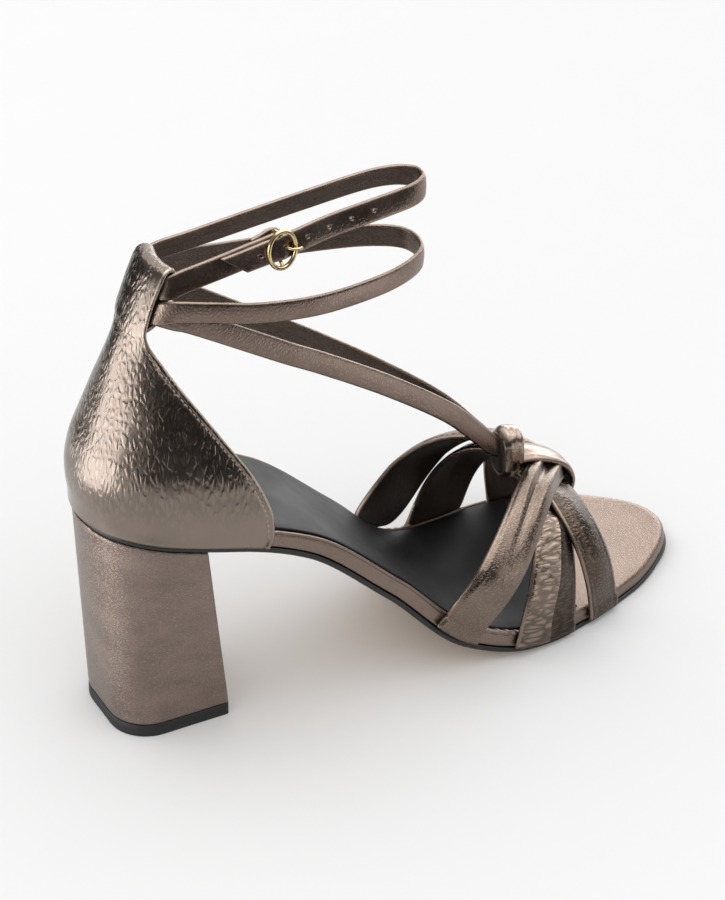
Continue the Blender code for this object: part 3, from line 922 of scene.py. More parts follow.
@dataclass
class SoleUnit:
    """Outsole, covered board with its bead, and sock."""

    last: Last
    stations: int = 220
    across: int = 14
    gap: float = 0.3
    board: float = 4.9
    sole: float = 7.0
    sole_margin: float = 0.5
    sock_margin: float = -2.2
    sock: float = 0.8
    sock_back: float = -20.0
    sock_front: float = 144.0
    sock_front_inner: float = 152.0
    bead: float = 0.55
    bead_margin: float = -0.65
    bead_depth: float = 0.15
    bead_back: float = 24.0
    bead_front: float = 146.0
    bead_stations: int = 160
    bead_sides: int = 10
    pinch: Fold = Fold(112.0, 0.8, 9.0)
    pucker: float = 0.5
    pucker_pitch: float = 3.4
    lip: float = 1.05
    toe_lip: float = 2.4
    toe_lip_range: Pair = (118.0, 165.0)
    lip_points: int = 7
    # rounded corners of the layers' sides: margin, and distance from the layer's bottom or top
    sole_foot: tuple[Pair, ...] = ((-0.7, 0.0), (-0.2, 0.1), (0.0, 0.5))
    sole_top: tuple[Pair, ...] = ((0.0, 0.4), (-0.1, 0.1), (-0.4, 0.0))
    board_foot: tuple[Pair, ...] = ((-0.4, 0.0), (-0.1, 0.1), (0.0, 0.4))
    sock_top: tuple[Pair, ...] = ((0.0, 0.3), (-0.12, 0.08), (-0.4, 0.0))
    # margin of the board's side near half its thickness, and how far below the half
    board_waist: Pair = (0.05, 0.6)

    def layer(self, u: Array, profile: Sequence[Any], inner: Array | None = None) -> tuple[Array, Array]:
        """Rings of one layer of the sole.

        Args:
            u: shares of the half turn, one a ring.
            profile: margin and depth of its side, from the bottom up.
            inner: the shares on the inner side where they differ.

        Returns:
            The rings, and for each face 1 underneath and 0 elsewhere.
        """
        shares = {Side.OUTER: u, Side.INNER: u if inner is None else inner}
        sides = {side: [self.last.at(shares[side], side, *step) for step in profile] for side in Side}
        share = np.linspace(0.0, 1.0, self.across + 2)[1:-1, None, None]
        low, high = [(sides[Side.OUTER][k], sides[Side.INNER][k]) for k in (0, -1)]
        under = low[0] + (low[1] - low[0]) * share
        over = high[1] + (high[0] - high[1]) * share
        ring = list(under) + sides[Side.INNER] + list(over) + sides[Side.OUTER][::-1]
        layers = np.zeros(len(ring), int)
        layers[: self.across] = 1
        layers[-1] = 1
        return np.stack(ring, axis=1), layers

    def build(self) -> list[Item]:
        """Build the layers and the bead.

        Returns:
            The pieces.
        """
        u = np.linspace(self.last.end_trim, 1 - self.last.toe_trim, self.stations)
        top = self.board + self.gap
        profile = [(self.sole_margin + out, self.sole - rise) for out, rise in self.sole_foot]
        profile += [(self.sole_margin + out, top + drop) for out, drop in self.sole_top]
        rings, layers = self.layer(u, profile)
        outsole = wrap("outsole_leather", rings, [SOLE_EDGE, SOLE_TREAD], layers)
        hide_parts("outsole")
        to_toe = smoothstep(self.last.plain_edge(u, Side.OUTER)[0], *self.toe_lip_range)
        lip = self.lip + (self.toe_lip - self.lip) * to_toe
        profile = [(out, self.board - rise) for out, rise in self.board_foot]
        profile.append((self.board_waist[0], self.board / 2 + self.board_waist[1]))
        turns = quarter_turn(self.lip_points)
        profile += [(lip * (math.cos(turn) - 1), lip * (1 - math.sin(turn))) for turn in turns]
        rings, layers = self.layer(u, profile)
        board = wrap("covered_board", rings, [BOARD_COVER, BOARD_COVER], layers)
        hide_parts("sole_board")
        start = self.last.turn_of(self.sock_back)
        shares = [
            np.linspace(start, self.last.turn_of(end), self.stations)
            for end in (self.sock_front, self.sock_front_inner)
        ]
        height = -self.gap - self.sock
        profile = [(self.sock_margin, -self.gap)]
        profile += [(self.sock_margin + out, height + drop) for out, drop in self.sock_top]
        rings, layers = self.layer(shares[0], profile, shares[1])
        sock = wrap("sock_lining", rings, [SOCK, SOCK], layers)
        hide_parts("insole")
        pieces = [outsole, board, sock]
        ends = (self.last.turn_of(self.bead_back), self.last.turn_of(self.bead_front))
        span = np.linspace(*ends, self.bead_stations)
        for side in Side:
            path = self.last.at(span, side, self.bead_margin, self.bead_depth - self.bead / 2)
            puckers = 1 + self.pucker * np.sin(TURN * path[:, 0] / self.pucker_pitch)
            radius = self.bead * (1 + self.pinch.over(path[:, 0]) * puckers)
            bead = wire(f"rand_bead_{side.name.lower()}", path, radius, BOARD_COVER, sides=self.bead_sides)
            pieces.append(bead)
        return pieces


@dataclass
class BlockHeel:
    """Covered block heel and its top piece."""

    last: Last
    breast_top: float = 11.2
    seat_margin: float = 0.5
    seat_depth: float = 7.3
    seat_points: int = 80
    foot_front: float = 18.7
    foot_back: float = -18.7
    foot_half: float = 20.3
    foot_round: float = 13.3
    round_points: int = 31
    plate: float = 4.5
    gap: float = 0.3
    sides: int = 150
    breast_points: int = 12
    smooth_passes: int = 2
    levels: int = 40
    rim: float = 0.55
    rim_bow: float = 0.3
    # rounded edges of the top piece: inset, and distance from its bottom or top
    plate_foot: tuple[Pair, ...] = ((0.5, 0.0), (0.12, 0.12), (0.0, 0.5))
    plate_top: tuple[Pair, ...] = ((0.0, 0.3), (0.2, 0.0))

    def foot_line(self, height: float) -> Array:
        """D-shaped line of the heel near the floor.

        Args:
            height: how high above the floor.

        Returns:
            Points from the outer front corner by the back to the inner one.
        """
        turns = quarter_turn(self.round_points)
        back = self.foot_back + self.foot_round * (1 - np.sin(turns))
        wide = -self.foot_half + self.foot_round * (1 - np.cos(turns))
        outer = np.stack([np.r_[self.foot_front, back], np.r_[-self.foot_half, wide]], axis=1)
        inner = outer[::-1] * (1, -1)
        plan = np.concatenate([outer, inner])
        return np.column_stack([plan, np.full(len(plan), height)])

    def ring(self, line: Array) -> Array:
        """Close a line with the flat breast and round the breast's corners.

        Args:
            line: from the outer front corner by the back to the inner one.

        Returns:
            Points of the whole ring.
        """
        around = resample(line, self.sides)
        breast = np.linspace(around[-1], around[0], self.breast_points + 2)[1:-1]
        ring = np.concatenate([around, breast])
        for _ in range(self.smooth_passes):
            ring = ring * 0.5 + (np.roll(ring, 1, axis=0) + np.roll(ring, -1, axis=0)) * 0.25
        return ring

    def build(self) -> list[Item]:
        """Build the block and the top piece.

        Returns:
            The pieces.
        """
        seat_line = self.last.round_heel(self.breast_top, self.seat_points, self.seat_margin, self.seat_depth)
        seat = self.ring(seat_line)
        foot = self.ring(self.foot_line(self.plate + self.gap))
        height = float((seat - foot)[:, 2].mean())
        rim, bow = self.rim, self.rim * self.rim_bow
        steps = [(rim, 0.0), (bow, bow), (0.0, rim)]
        steps += [(0.0, drop) for drop in np.linspace(rim, height - rim, self.levels)[1:-1]]
        steps += [(0.0, height - rim), (bow, height - bow), (rim, height)]
        rings = []
        for inset, drop in steps:
            line = seat + (foot - seat) * drop / height
            rings.append(line + unit((line.mean(axis=0) - line) * (1.0, 1.0, 0.0)) * inset)
        block = wrap("covered_heel", np.array(rings), [HEEL_COVER])
        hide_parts("heel")
        line = self.ring(self.foot_line(0.0))
        inward = unit(line.mean(axis=0) - line)
        steps = list(self.plate_foot) + [(inset, self.plate - drop) for inset, drop in self.plate_top]
        rings = [line + inward * inset + (0.0, 0.0, rise) for inset, rise in steps]
        plate = wrap("top_piece_plate", np.array(rings), [TOP_PIECE])
        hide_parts("heel_top_piece")
        return [block, plate]


@dataclass
class HeelCounter:
    """Closed back of the upper, whose tab is folded into a tunnel for the straps."""

    last: Last
    leather: float = 1.6
    centre: float = -0.5
    foot_front: float = 30.4
    back_swell: float = 1.3
    line_points: int = 120
    columns: int = 131
    fine_columns: int = 9
    fine_step: float = 0.35
    row_step: float = 0.9
    edge_roll: Fold = Fold(0.5, 0.25, 0.6)
    seam: Fold = Fold(1.6, -0.3, 0.45)
    stitch_pitch: float = 2.1
    neck_height: float = 146.0
    # rows from the neck between which the edge's relief fades
    relief_fade: tuple[int, int] = (-2, 6)
    # rows from the neck to the tuck of the tab's seam
    tuck_row: int = 2
    tuck_depth: float = 0.16
    tuck_spread: float = 1.1
    first_sewn_row: int = 3
    tab_seam_inset: int = 6
    # x and z at the back, x and z at the front edge, half the width there, roundness in plan
    levels: tuple[tuple[float, ...], ...] = (
        (-24.8, 92.5, 30.0, 82.0, 28.8, 2.36),
        (-24.7, 98.0, 27.6, 89.5, 28.4, 2.42),
        (-23.6, 103.0, 25.0, 95.5, 27.9, 2.46),
        (-22.0, 108.0, 21.9, 101.5, 26.8, 2.46),
        (-18.9, 115.0, 16.8, 110.0, 24.6, 2.4),
        (-15.3, 124.0, 10.2, 121.0, 21.6, 2.2),
        (-12.0, 133.0, 4.2, 131.0, 17.4, 1.8),
        (-9.0, 141.0, -0.2, 139.5, 13.0, 1.4),
        (-6.2, 148.0, -3.4, 147.5, 10.0, 1.0),
        (-3.2, 156.0, -1.2, 156.0, 9.3, 1.0),
        (-0.6, 162.5, 1.4, 162.5, 9.3, 1.0),
        (1.2, 166.4, 3.2, 166.4, 9.3, 1.0),
        (2.8, 168.4, 4.6, 168.4, 9.0, 1.0),
        (5.0, 168.8, 6.6, 168.8, 8.2, 1.0),
        (7.2, 167.2, 8.2, 167.2, 7.2, 1.0),
        (7.5, 163.6, 8.2, 163.6, 6.2, 1.0),
        (5.2, 156.4, 5.9, 156.4, 6.0, 1.0),
        (3.7, 152.4, 4.4, 152.4, 6.0, 1.0),
        (2.0, 149.6, 2.6, 149.6, 6.0, 1.0),
        (-1.0, 147.9, -0.4, 147.9, 6.0, 1.0),
        (-3.7, 147.6, -3.1, 147.6, 6.0, 1.0),
    )

    def level_line(self, back_x: float, back_z: float, front_x: float, front_z: float, half: float,
                   roundness: float) -> Array:
        """Plan curve at one level.

        Args:
            back_x: x at the back.
            back_z: height at the back.
            front_x: x at the front edges.
            front_z: height at the front edges.
            half: half the width at the front edges.
            roundness: how full the curve is.

        Returns:
            Points from the outer front edge to the inner one.
        """
        share = np.linspace(1.0, 0.0, self.line_points) ** 2
        wide = half * (1 - (1 - share) ** roundness) ** (1 / max(2.0, roundness))
        x = back_x + (front_x - back_x) * share
        z = back_z + (front_z - back_z) * share
        outer = np.stack([x, self.centre - wide, z], axis=1)
        inner = np.stack([x, self.centre + wide, z], axis=1)[::-1]
        return np.concatenate([outer, inner[1:]])

    def rows(self) -> Array:
        """Middle of the leather.

        Returns:
            Rows of points, from the sole up and over the tab's fold.
        """
        ends = (self.foot_front, self.line_points, self.last.lasted_margin)
        foot = self.last.round_heel(*ends, self.last.lasted_depth)
        lines = [foot, self.last.round_heel(*ends, 0.0, self.back_swell)]
        lines += [self.level_line(*level) for level in self.levels]
        return spline([self.spaced(line) for line in lines], self.row_step)

    def spaced(self, line: Array) -> Array:
        """Points along a line, set closer at its two ends for the folded edge and its seam.

        Args:
            line: the line's points.

        Returns:
            As many points as the counter has columns.
        """
        run = lengths(line)
        ends = self.fine_step * np.arange(self.fine_columns)
        inner = np.linspace(ends[-1], run[-1] - ends[-1], self.columns - 2 * self.fine_columns + 2)[1:-1]
        return read_along(run, line, np.concatenate([ends, inner, run[-1] - ends[::-1]]))

    def build(self) -> list[Item]:
        """Build the counter and its seams.

        Returns:
            The pieces.
        """
        rows = self.rows()
        column = np.arange(self.columns)
        row = np.arange(len(rows))
        inset = np.minimum(column, self.columns - 1 - column) * self.fine_step
        relief = self.edge_roll.over(inset) + self.seam.over(inset)
        heights = rows[:, self.columns // 2, 2]
        neck = int(np.abs(heights[: heights.argmax()] - self.neck_height).argmin())
        sewn = 1 - smoothstep(row, neck + self.relief_fade[0], neck + self.relief_fade[1])
        tuck = neck + self.tuck_row
        fold = -self.tuck_depth * bump(row * self.row_step, tuck * self.row_step, self.tuck_spread)
        relief = relief[None, :] * sewn[:, None] + fold[:, None]
        rings, layers = skin(rows, self.leather, outward=1, relief=relief)
        # the front edge takes the lighter edge finish, a painted highlight
        piece = wrap("counter_leather", rings, [COUNTER_LEATHER, HIGHLIGHT_COUNTER_EDGE, COUNTER_LINING], layers)
        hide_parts("heel_counter")
        seams = []
        face = rings[:, : self.columns]
        normals = unit(face - rows)
        place = round(self.seam.place / self.fine_step)
        sewn_rows = slice(self.first_sewn_row, neck)
        for at in (place, self.columns - 1 - place):
            seams.append((face[sewn_rows, at], normals[sewn_rows, at]))
        tab = slice(self.tab_seam_inset, self.columns - self.tab_seam_inset)
        seams.append((face[tuck, tab], normals[tuck, tab]))
        sewing = stitches("counter_stitches", seams, self.stitch_pitch, THREAD)
        return [piece, sewing]


@dataclass(frozen=True)
class VampStrap:
    """One strap over the toes, by its edges at the outer foot, the ridge and the inner foot."""

    name: str
    outer: Pair
    ridge: Pair
    inner: Pair
    lift: float
    outer_sweep: Pair
    inner_sweep: Pair
    crown: float
    crown_end: float
    folds: tuple[Fold, ...]
    crown_at: float = 0.5
    crown_power: float = 2.0
    waves: float = 0.0
    finish: Finish = VAMP_LEATHER
    # darker copy of the finish for the panel past the crown, as painted shade
    turned: Finish | None = None


@dataclass
class ToeStraps:
    """Three straps over the toes, gathered at the ridge."""

    last: Last
    leather: float = 1.6
    stations: int = 120
    columns: int = 41
    straps: tuple[VampStrap, ...] = (
        VampStrap(
            "vamp_strap_rear", outer=(92.0, 103.5), ridge=(142.0, 155.0), inner=(90.0, 98.0), lift=4.6,
            outer_sweep=(1.4, 1.12), inner_sweep=(1.1, 0.55), crown=1.5, crown_end=2.0, crown_power=3.2,
            folds=(
                Fold(0.07, 0.3, 0.07), Fold(0.22, 1.2, 0.13, 0.5, 1.0), Fold(0.47, -0.8, 0.10, 0.3, 0.7),
                Fold(0.75, 1.6, 0.14, 0.5, 1.0),
            ),
        ),
        VampStrap(
            "vamp_strap_middle", outer=(117.5, 139.0), ridge=(140.5, 149.5), inner=(113.0, 136.0), lift=0.0,
            outer_sweep=(1.05, 1.5), inner_sweep=(0.8, 0.65), crown=2.3, crown_end=0.7, crown_at=0.56,
            # the panel before the crown is painted lighter as painted light, the panel past it darker as
            # painted shade
            crown_power=1.15, waves=0.2, finish=PINCHED_LIT_LEATHER, turned=PINCHED_SHADED_LEATHER,
            folds=(Fold(0.05, 0.25, 0.06), Fold(0.96, 0.2, 0.05)),
        ),
        VampStrap(
            "vamp_strap_front", outer=(147.5, 159.0), ridge=(136.5, 152.5), inner=(148.0, 164.0), lift=2.3,
            outer_sweep=(0.95, 0.6), inner_sweep=(1.3, 0.9), crown=1.3, crown_end=0.9, crown_at=0.4,
            finish=STRETCHED_LEATHER, folds=(Fold(0.05, 0.3, 0.06), Fold(0.96, 0.2, 0.05)),
        ),
    )
    # shares of the lasted depth at the rows of each foot
    foot_shares: tuple[float, ...] = (1.0, 0.75, 0.5, 0.25)
    arch_start: Pair = (0.02, 0.3)
    arch_fall: float = 0.2
    wave_pitch: float = 3.3
    wave_sway: float = 0.14
    sways_across: float = 2.1
    sway_length: float = 9.0
    # shares of the width over which the waves start and end
    wave_start: Pair = (0.08, 0.2)
    wave_fall: float = 0.1
    gather_half: float = 4.0
    gather_middle: float = 4.2
    gather_rise: float = 3.6
    gather_power: float = 0.6
    gather_sides: int = 32
    # x and size of the gathered ends' sections
    gather_sections: tuple[Pair, ...] = (
        (141.2, 0.55), (141.8, 0.85), (143.0, 1.0), (149.0, 1.0), (151.0, 0.85), (151.8, 0.55),
    )

    def rows(self, strap: VampStrap) -> tuple[Array, Array]:
        """Middle of a strap's leather, from the outer foot over the ridge to the inner foot.

        Args:
            strap: the strap.

        Returns:
            The rows of points, and the rise of each row from 0 at a foot to 1 at the ridge.
        """
        across = np.linspace(0.0, 1.0, self.columns)
        rows, rises = [], []
        for share in np.linspace(0.0, 2.0, 2 * self.stations + 1):
            foot, sweep = (strap.outer, strap.outer_sweep) if share < 1 else (strap.inner, strap.inner_sweep)
            rise = 1 - abs(1 - share)
            back, front = [a + (b - a) * rise ** power for a, b, power in zip(foot, strap.ridge, sweep)]
            x = back + (front - back) * across
            rows.append(self.last.over_toes(x, np.full(self.columns, share * math.pi / 2), strap.lift))
            rises.append(rise)
        feet = []
        margin, depth = self.last.lasted_margin, self.last.lasted_depth
        for side, edges in ((Side.OUTER, strap.outer), (Side.INNER, strap.inner)):
            u = self.last.turn_of(np.linspace(*edges, self.columns))
            feet.append([self.last.at(u, side, margin, depth * share) for share in self.foot_shares])
        level = [0.0] * len(self.foot_shares)
        return np.array(feet[0] + rows + feet[1][::-1]), np.array(level + rises + level)

    def build(self) -> list[Item]:
        """Build the straps with their folds.

        Returns:
            The pieces.
        """
        pieces = []
        across = np.linspace(0.0, 1.0, self.columns)[None, :]
        for strap in self.straps:
            rows, rises = self.rows(strap)
            ended = smoothstep(rises, strap.crown_end - self.arch_fall, strap.crown_end)
            arch = smoothstep(rises, *self.arch_start) * (1 - ended)
            off = np.where(across < strap.crown_at, strap.crown_at - across, across - strap.crown_at)
            off = off / np.where(across < strap.crown_at, strap.crown_at, 1 - strap.crown_at)
            bend = strap.crown * arch[:, None] * (1 - off ** strap.crown_power)
            relief = bend + strap.waves * self.waves(rows, across, strap.crown_at) * arch[:, None]
            for fold in strap.folds:
                strength = smoothstep(rises, fold.start, fold.full)[:, None]
                relief = relief + fold.over(across) * strength
            rings, layers = skin(rows, self.leather, outward=-1, relief=relief, back_relief=-bend)
            finishes = [strap.finish, FOLDED_EDGE, VAMP_LINING]
            # the panel past the crown takes the darker copy of the leather: painted shade
            if strap.turned:
                finishes.append(strap.turned)
                layers[round(strap.crown_at * (self.columns - 1)) : self.columns - 1] = int(Layer.TURNED)
            piece = wrap(strap.name, rings, finishes, layers)
            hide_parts("vamp_straps")
            pieces.append(piece)
        pieces.append(self.gather())
        return pieces

    def waves(self, rows: Array, across: Array, end: float) -> Array:
        """Wavy ridges across the rear part of a pinched strap.

        Args:
            rows: middle of the strap's leather.
            across: share of the strap's width at each column.
            end: share of the width where the ridges end.

        Returns:
            Height of the ridges, from -1 to 1.
        """
        run = lengths(rows[:, self.columns // 2])[:, None]
        sway = np.sin(TURN * (self.sways_across * across + run / self.sway_length))
        bent = run / self.wave_pitch + self.wave_sway * sway
        inside = smoothstep(across, *self.wave_start) * (1 - smoothstep(across, end - self.wave_fall, end))
        return np.sin(TURN * bent) * inside

    def gather(self) -> Item:
        """Tucked strap ends between the ridge and the knot's loop.

        Returns:
            The new object.
        """
        turns = full_turn(self.gather_sides)
        rings = []
        for x, size in self.gather_sections:
            middle = float(monotone(self.last.ridge, x)) + self.gather_middle
            y = self.gather_half * size * squarer(np.cos(turns), self.gather_power)
            z = middle + self.gather_rise * size * squarer(np.sin(turns), self.gather_power)
            rings.append(np.stack([np.full_like(y, x), y, z], axis=1))
        block = wrap("strap_gather", np.array(rings), [VAMP_LINING])
        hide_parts("vamp_straps")
        return block


@dataclass
class Knot:
    """Wrap round the strands' neck and the loop round the gathered straps."""

    middle: Triple = (132.6, 0.0, 56.1)
    half_height: float = 8.6
    half_width: float = 4.6
    wrap_width: float = 8.0
    loop_width: float = 8.0
    loop_spread: float = 3.0
    loop_offset: float = 0.6
    leather: float = 1.7
    sides: int = 96
    columns: int = 21
    side_ease: float = 0.2
    taper: float = 0.10
    swell: Fold = Fold(-0.35, 0.5, 0.35)
    # share of the turn where the swell is highest
    swell_turn: float = 0.3
    crease_depth: float = 0.3
    crease_spread: float = 0.22
    crease_middle: float = 0.3
    crease_sway: float = 0.4
    core_sides: int = 40
    # place along the wrap and size of the strands' ends inside it
    core_sections: tuple[Pair, ...] = (
        (-4.6, 0.5), (-4.45, 0.75), (-4.1, 0.9), (-3.4, 0.97), (3.4, 0.97), (4.1, 0.9), (4.4, 0.7),
    )
    loop_step: float = 0.8
    loop_droop: float = 0.7
    loop_ribs: tuple[Fold, Fold] = (Fold(-0.8, 0.25, 0.2), Fold(0.1, 0.2, 0.5))
    # x, z and how much of the extra width the loop has there
    loop: tuple[Triple, ...] = (
        (133.0, 54.4, 1.0), (141.0, 53.1, 1.0), (148.5, 49.8, 1.0), (153.8, 45.4, 0.8), (156.2, 39.4, 0.4),
        (154.6, 33.6, 0.1), (149.8, 31.6, 0.0), (144.0, 35.6, 0.0), (138.6, 42.0, 0.0), (133.0, 48.4, 0.0),
    )

    def section(self, half_width: float, half_height: float, sides: int) -> tuple[Array, Array]:
        """Upright oval with straight sides.

        Args:
            half_width: half its width.
            half_height: half its height.
            sides: how many points.

        Returns:
            y and z of its points.
        """
        turns = TURN * (np.arange(sides) + 0.5) / sides
        sine = np.sin(turns)
        straight = np.copysign(half_height - half_width, sine) * smoothstep(np.abs(sine), 0.0, self.side_ease)
        return half_width * np.cos(turns), half_width * sine + straight

    def build(self) -> list[Item]:
        """Build the wrap, the strands' ends inside it and the loop.

        Returns:
            The pieces.
        """
        centre = np.array(self.middle)
        share = np.linspace(-1.0, 1.0, self.columns)
        inset = self.leather / 2
        y, z = self.section(self.half_width, self.half_height, self.sides)
        tight = 1 - self.taper * share ** 4
        span = np.broadcast_to(share * (self.wrap_width / 2 - inset), (self.sides, self.columns))
        rows = np.stack([span, np.outer(y, tight), np.outer(z, tight)], axis=-1)
        around = np.arange(self.sides) / self.sides
        top = 0.5 + 0.5 * np.cos(TURN * (around - self.swell_turn))
        crease = self.crease_middle + self.crease_sway * np.sin(TURN * around)
        relief = self.swell.over(share)[None, :] * top[:, None]
        relief = relief - self.crease_depth * bump(share[None, :], crease[:, None], self.crease_spread)
        rings, layers = skin(rows + centre, self.leather, outward=1, closed=True, relief=relief)
        neck = wrap("knot_wrap", rings, [KNOT_LEATHER, FOLDED_EDGE, VAMP_LINING], layers, closed=True)
        y, z = self.section(self.half_width - inset, self.half_height - inset, self.core_sides)
        rings = []
        for along, size in self.core_sections:
            rings.append(centre + np.stack([np.full_like(y, along), y * size, z * size], axis=1))
        core = wrap("knot_core", np.array(rings), [VAMP_LINING])
        path = spline([(x, 0.0, z, extra) for x, z, extra in self.loop], self.loop_step)
        extra = path[:, 3, None]
        half = (self.loop_width + self.loop_spread * extra) / 2 - inset
        rows = np.repeat(path[:, None, :3], self.columns, axis=1)
        rows[..., 1] += half * share[None, :] + self.loop_offset * extra
        rows[..., 2] -= self.loop_droop * extra * share[None, :] ** 2
        relief = sum(rib.over(share) for rib in self.loop_ribs)
        rings, layers = skin(rows, self.leather, outward=1, relief=relief)
        loop = wrap("knot_loop", rings, [KNOT_LEATHER, FOLDED_EDGE, VAMP_LINING], layers)
        for piece in (neck, core, loop):
            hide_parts("knot")
        return [neck, core, loop]


@dataclass
class AnkleStraps:
    """Both loops round the ankle and the strands that run to the knot."""

    width: float = 8.0
    strand_width: float = 7.6
    neck_width: float = 6.4
    leather: float = 1.4
    columns: int = 13
    step: float = 0.62
    crown: float = 0.22
    tail_slant: float = 6.6
    tail_reach: float = 22.0
    lean_in: float = 0.02
    lower_lean_in: float = -0.005
    path_step: float = 0.4
    seam: Fold = Fold(0.0, -0.16, 0.1)
    # where the strap is pushed out over the buckle's bar
    hump: Fold = Fold(43.0, 0.8, 2.6)
    hole_places: tuple[float, ...] = (36.4, 44.6, 52.8, 61.0, 69.2, 77.4)
    # centre lines: x, y, z and the lean of the strap's width towards the toe
    upper: tuple[Four, ...] = (
        (35.5, -7.8, 167.3, 0.0), (39.0, -7.0, 167.8, 0.0), (42.5, -5.95, 168.2, 0.0),
        (44.55, -7.6, 168.4, 0.0), (42.5, -9.25, 168.2, 0.0), (38.5, -9.4, 167.6, 0.0),
        (34.0, -9.4, 167.0, 0.0), (30.0, -9.4, 166.4, 0.0), (22.4, -9.4, 165.3, 0.0),
        (11.0, -9.6, 164.0, 0.15), (5.2, -9.0, 162.8, 0.36), (3.0, -5.0, 162.6, 0.42),
        (2.6, 0.0, 162.6, 0.42), (3.0, 5.0, 162.6, 0.42), (5.2, 9.4, 162.8, 0.36),
        (11.0, 10.6, 164.0, 0.15), (22.4, 10.8, 164.6, 0.0), (42.4, 10.2, 166.7, 0.0),
        (62.4, 9.2, 169.0, 0.0), (82.4, 8.8, 170.5, 0.0), (92.4, 7.2, 170.8, 0.0), (97.6, 3.8, 170.9, 0.0),
        (98.8, 0.0, 171.0, 0.0), (97.6, -3.8, 171.2, 0.0), (92.4, -7.2, 171.3, 0.0),
        (82.4, -8.8, 171.2, 0.0), (62.4, -9.6, 169.9, 0.0), (50.0, -11.0, 168.8, 0.0),
        (43.0, -11.6, 168.2, 0.0), (34.0, -11.6, 166.9, 0.0), (24.0, -11.4, 165.6, 0.0),
    )
    lower: tuple[Four, ...] = (
        (-0.9, 0.0, 154.6, 0.42), (-0.5, -5.0, 154.6, 0.42), (1.8, -9.6, 155.0, 0.36),
        (6.8, -13.0, 155.8, 0.15), (17.4, -16.6, 154.6, 0.0), (32.4, -19.2, 151.6, 0.0),
        (52.4, -19.8, 149.0, 0.0), (72.4, -17.2, 147.8, 0.0), (86.0, -13.2, 147.3, 0.0),
        (95.0, -7.4, 147.1, 0.0), (97.6, 0.0, 147.0, 0.0), (95.0, 7.4, 146.9, 0.0),
        (86.0, 13.2, 146.8, 0.0), (72.4, 17.2, 147.0, 0.0), (52.4, 19.8, 148.2, 0.0),
        (32.4, 19.2, 151.2, 0.0), (17.4, 16.6, 154.6, 0.0), (6.8, 13.0, 155.8, 0.15),
        (1.8, 9.6, 155.0, 0.36), (-0.5, 5.0, 154.6, 0.42),
    )
    strand: tuple[Four, ...] = (
        (0.5, 2.7, 153.9, 0.42), (1.0, 4.8, 153.9, 0.42), (2.9, 8.3, 153.4, 0.36), (7.4, 11.2, 151.8, 0.2),
        (15.0, 12.6, 148.4, 0.1), (44.5, 11.0, 128.6, 0.0), (60.0, 9.6, 118.4, 0.0),
        (84.0, 7.0, 101.2, 0.0), (107.0, 4.4, 82.4, 0.0), (120.0, 2.0, 68.2, 0.0), (126.0, 1.0, 61.2, 0.0),
        (131.0, 0.9, 57.4, 0.0),
    )

    def rows(self, points: Sequence[Sequence[float]], width: float, closed: bool = False,
             end_width: float | None = None, slant: float = 0.0, lean_in: float = 0.0) -> Array:
        """Middle of a strap's leather along a centre line.

        Args:
            points: x, y, z and lean of the centre line.
            width: width of the strap.
            closed: whether it is a ring.
            end_width: width at its far end.
            slant: how much shorter its lower edge is at the far end.
            lean_in: lean of its upper edge towards the ankle, for each millimetre off the middle.

        Returns:
            Rows of points from the lower to the upper edge.
        """
        fine = spline(points, self.path_step, closed)
        if closed:
            fine = np.concatenate([fine, fine[:1]])
        run = lengths(fine)
        count = round(run[-1] / self.step)
        stops = np.linspace(0.0, run[-1], count, endpoint=not closed)
        span = np.linspace(-1.0, 1.0, self.columns)
        late = smoothstep(stops, run[-1] - self.tail_reach, run[-1])
        reach = stops[:, None] - slant * late[:, None] * (1 - span[None, :]) / 2
        centre = read_along(run, fine[:, :3], reach)
        middle, lean = np.split(read_along(run, fine, stops), [3], axis=1)
        forward = along_rows(middle, closed)
        up = np.concatenate([lean, -lean_in * middle[:, 1:2], np.ones_like(lean)], axis=1)
        up = unit(up - forward * (up * forward).sum(axis=1, keepdims=True))
        share = stops / run[-1]
        half = (width + ((end_width or width) - width) * share ** 3) / 2 - self.leather / 2
        return centre + up[:, None] * (span[None, :] * half[:, None])[..., None]

    def strap(self, name: str, rows: Array, outward: int, closed: bool = False,
              holes: Sequence[tuple[int, int, int]] = (), hump: Array | float = 0.0) -> Item:
        """Build one strap with a crowned face and a seam along its back.

        Args:
            name: the piece's name.
            rows: middle of its leather.
            outward: which side is the face.
            closed: whether it is a ring.
            holes: punched holes, as wrap takes them.
            hump: how far the strap is pushed out, row by row.

        Returns:
            The new object.
        """
        span = np.linspace(-1.0, 1.0, self.columns)[None, :]
        relief = self.crown * (1 - span ** 2) + hump
        seam = self.seam.over(span) - hump
        rings, layers = skin(rows, self.leather, outward, closed, relief, seam)
        # the strap's back takes the darker copy of its leather: painted shade
        piece = wrap(name, rings, [STRAP_LEATHER, FOLDED_EDGE, SHADED_STRAP_BACK], layers, closed, holes)
        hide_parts("ankle_strap")
        return piece

    def build(self) -> list[Item]:
        """Build the loops and strands.

        Returns:
            The pieces.
        """
        rows = self.rows(self.upper, self.width, slant=self.tail_slant, lean_in=self.lean_in)
        middle = rows[:, self.columns // 2]
        late = np.arange(len(rows)) > len(rows) // 2
        near = late & (middle[:, 1] < 0)
        face = self.columns // 2
        back = self.columns + EDGE_STEPS + self.columns - 1 - face
        holes = []
        for x in self.hole_places:
            away = np.where(near, np.abs(middle[:, 0] - x), np.inf)
            holes.append((int(away.argmin()), face, back))
        hump = (self.hump.over(middle[:, 0]) * near)[:, None]
        pieces = [self.strap("strap_upper_loop", rows, -1, holes=holes, hump=hump)]
        rows = self.rows(self.lower, self.width, closed=True, lean_in=self.lower_lean_in)
        pieces.append(self.strap("strap_lower_loop", rows, 1, closed=True))
        for side in Side:
            points = [(x, side * y, z, lean) for x, y, z, lean in self.strand]
            rows = self.rows(points, self.strand_width, end_width=self.neck_width)
            pieces.append(self.strap(f"strap_strand_{side.name.lower()}", rows, -int(side)))
        return pieces


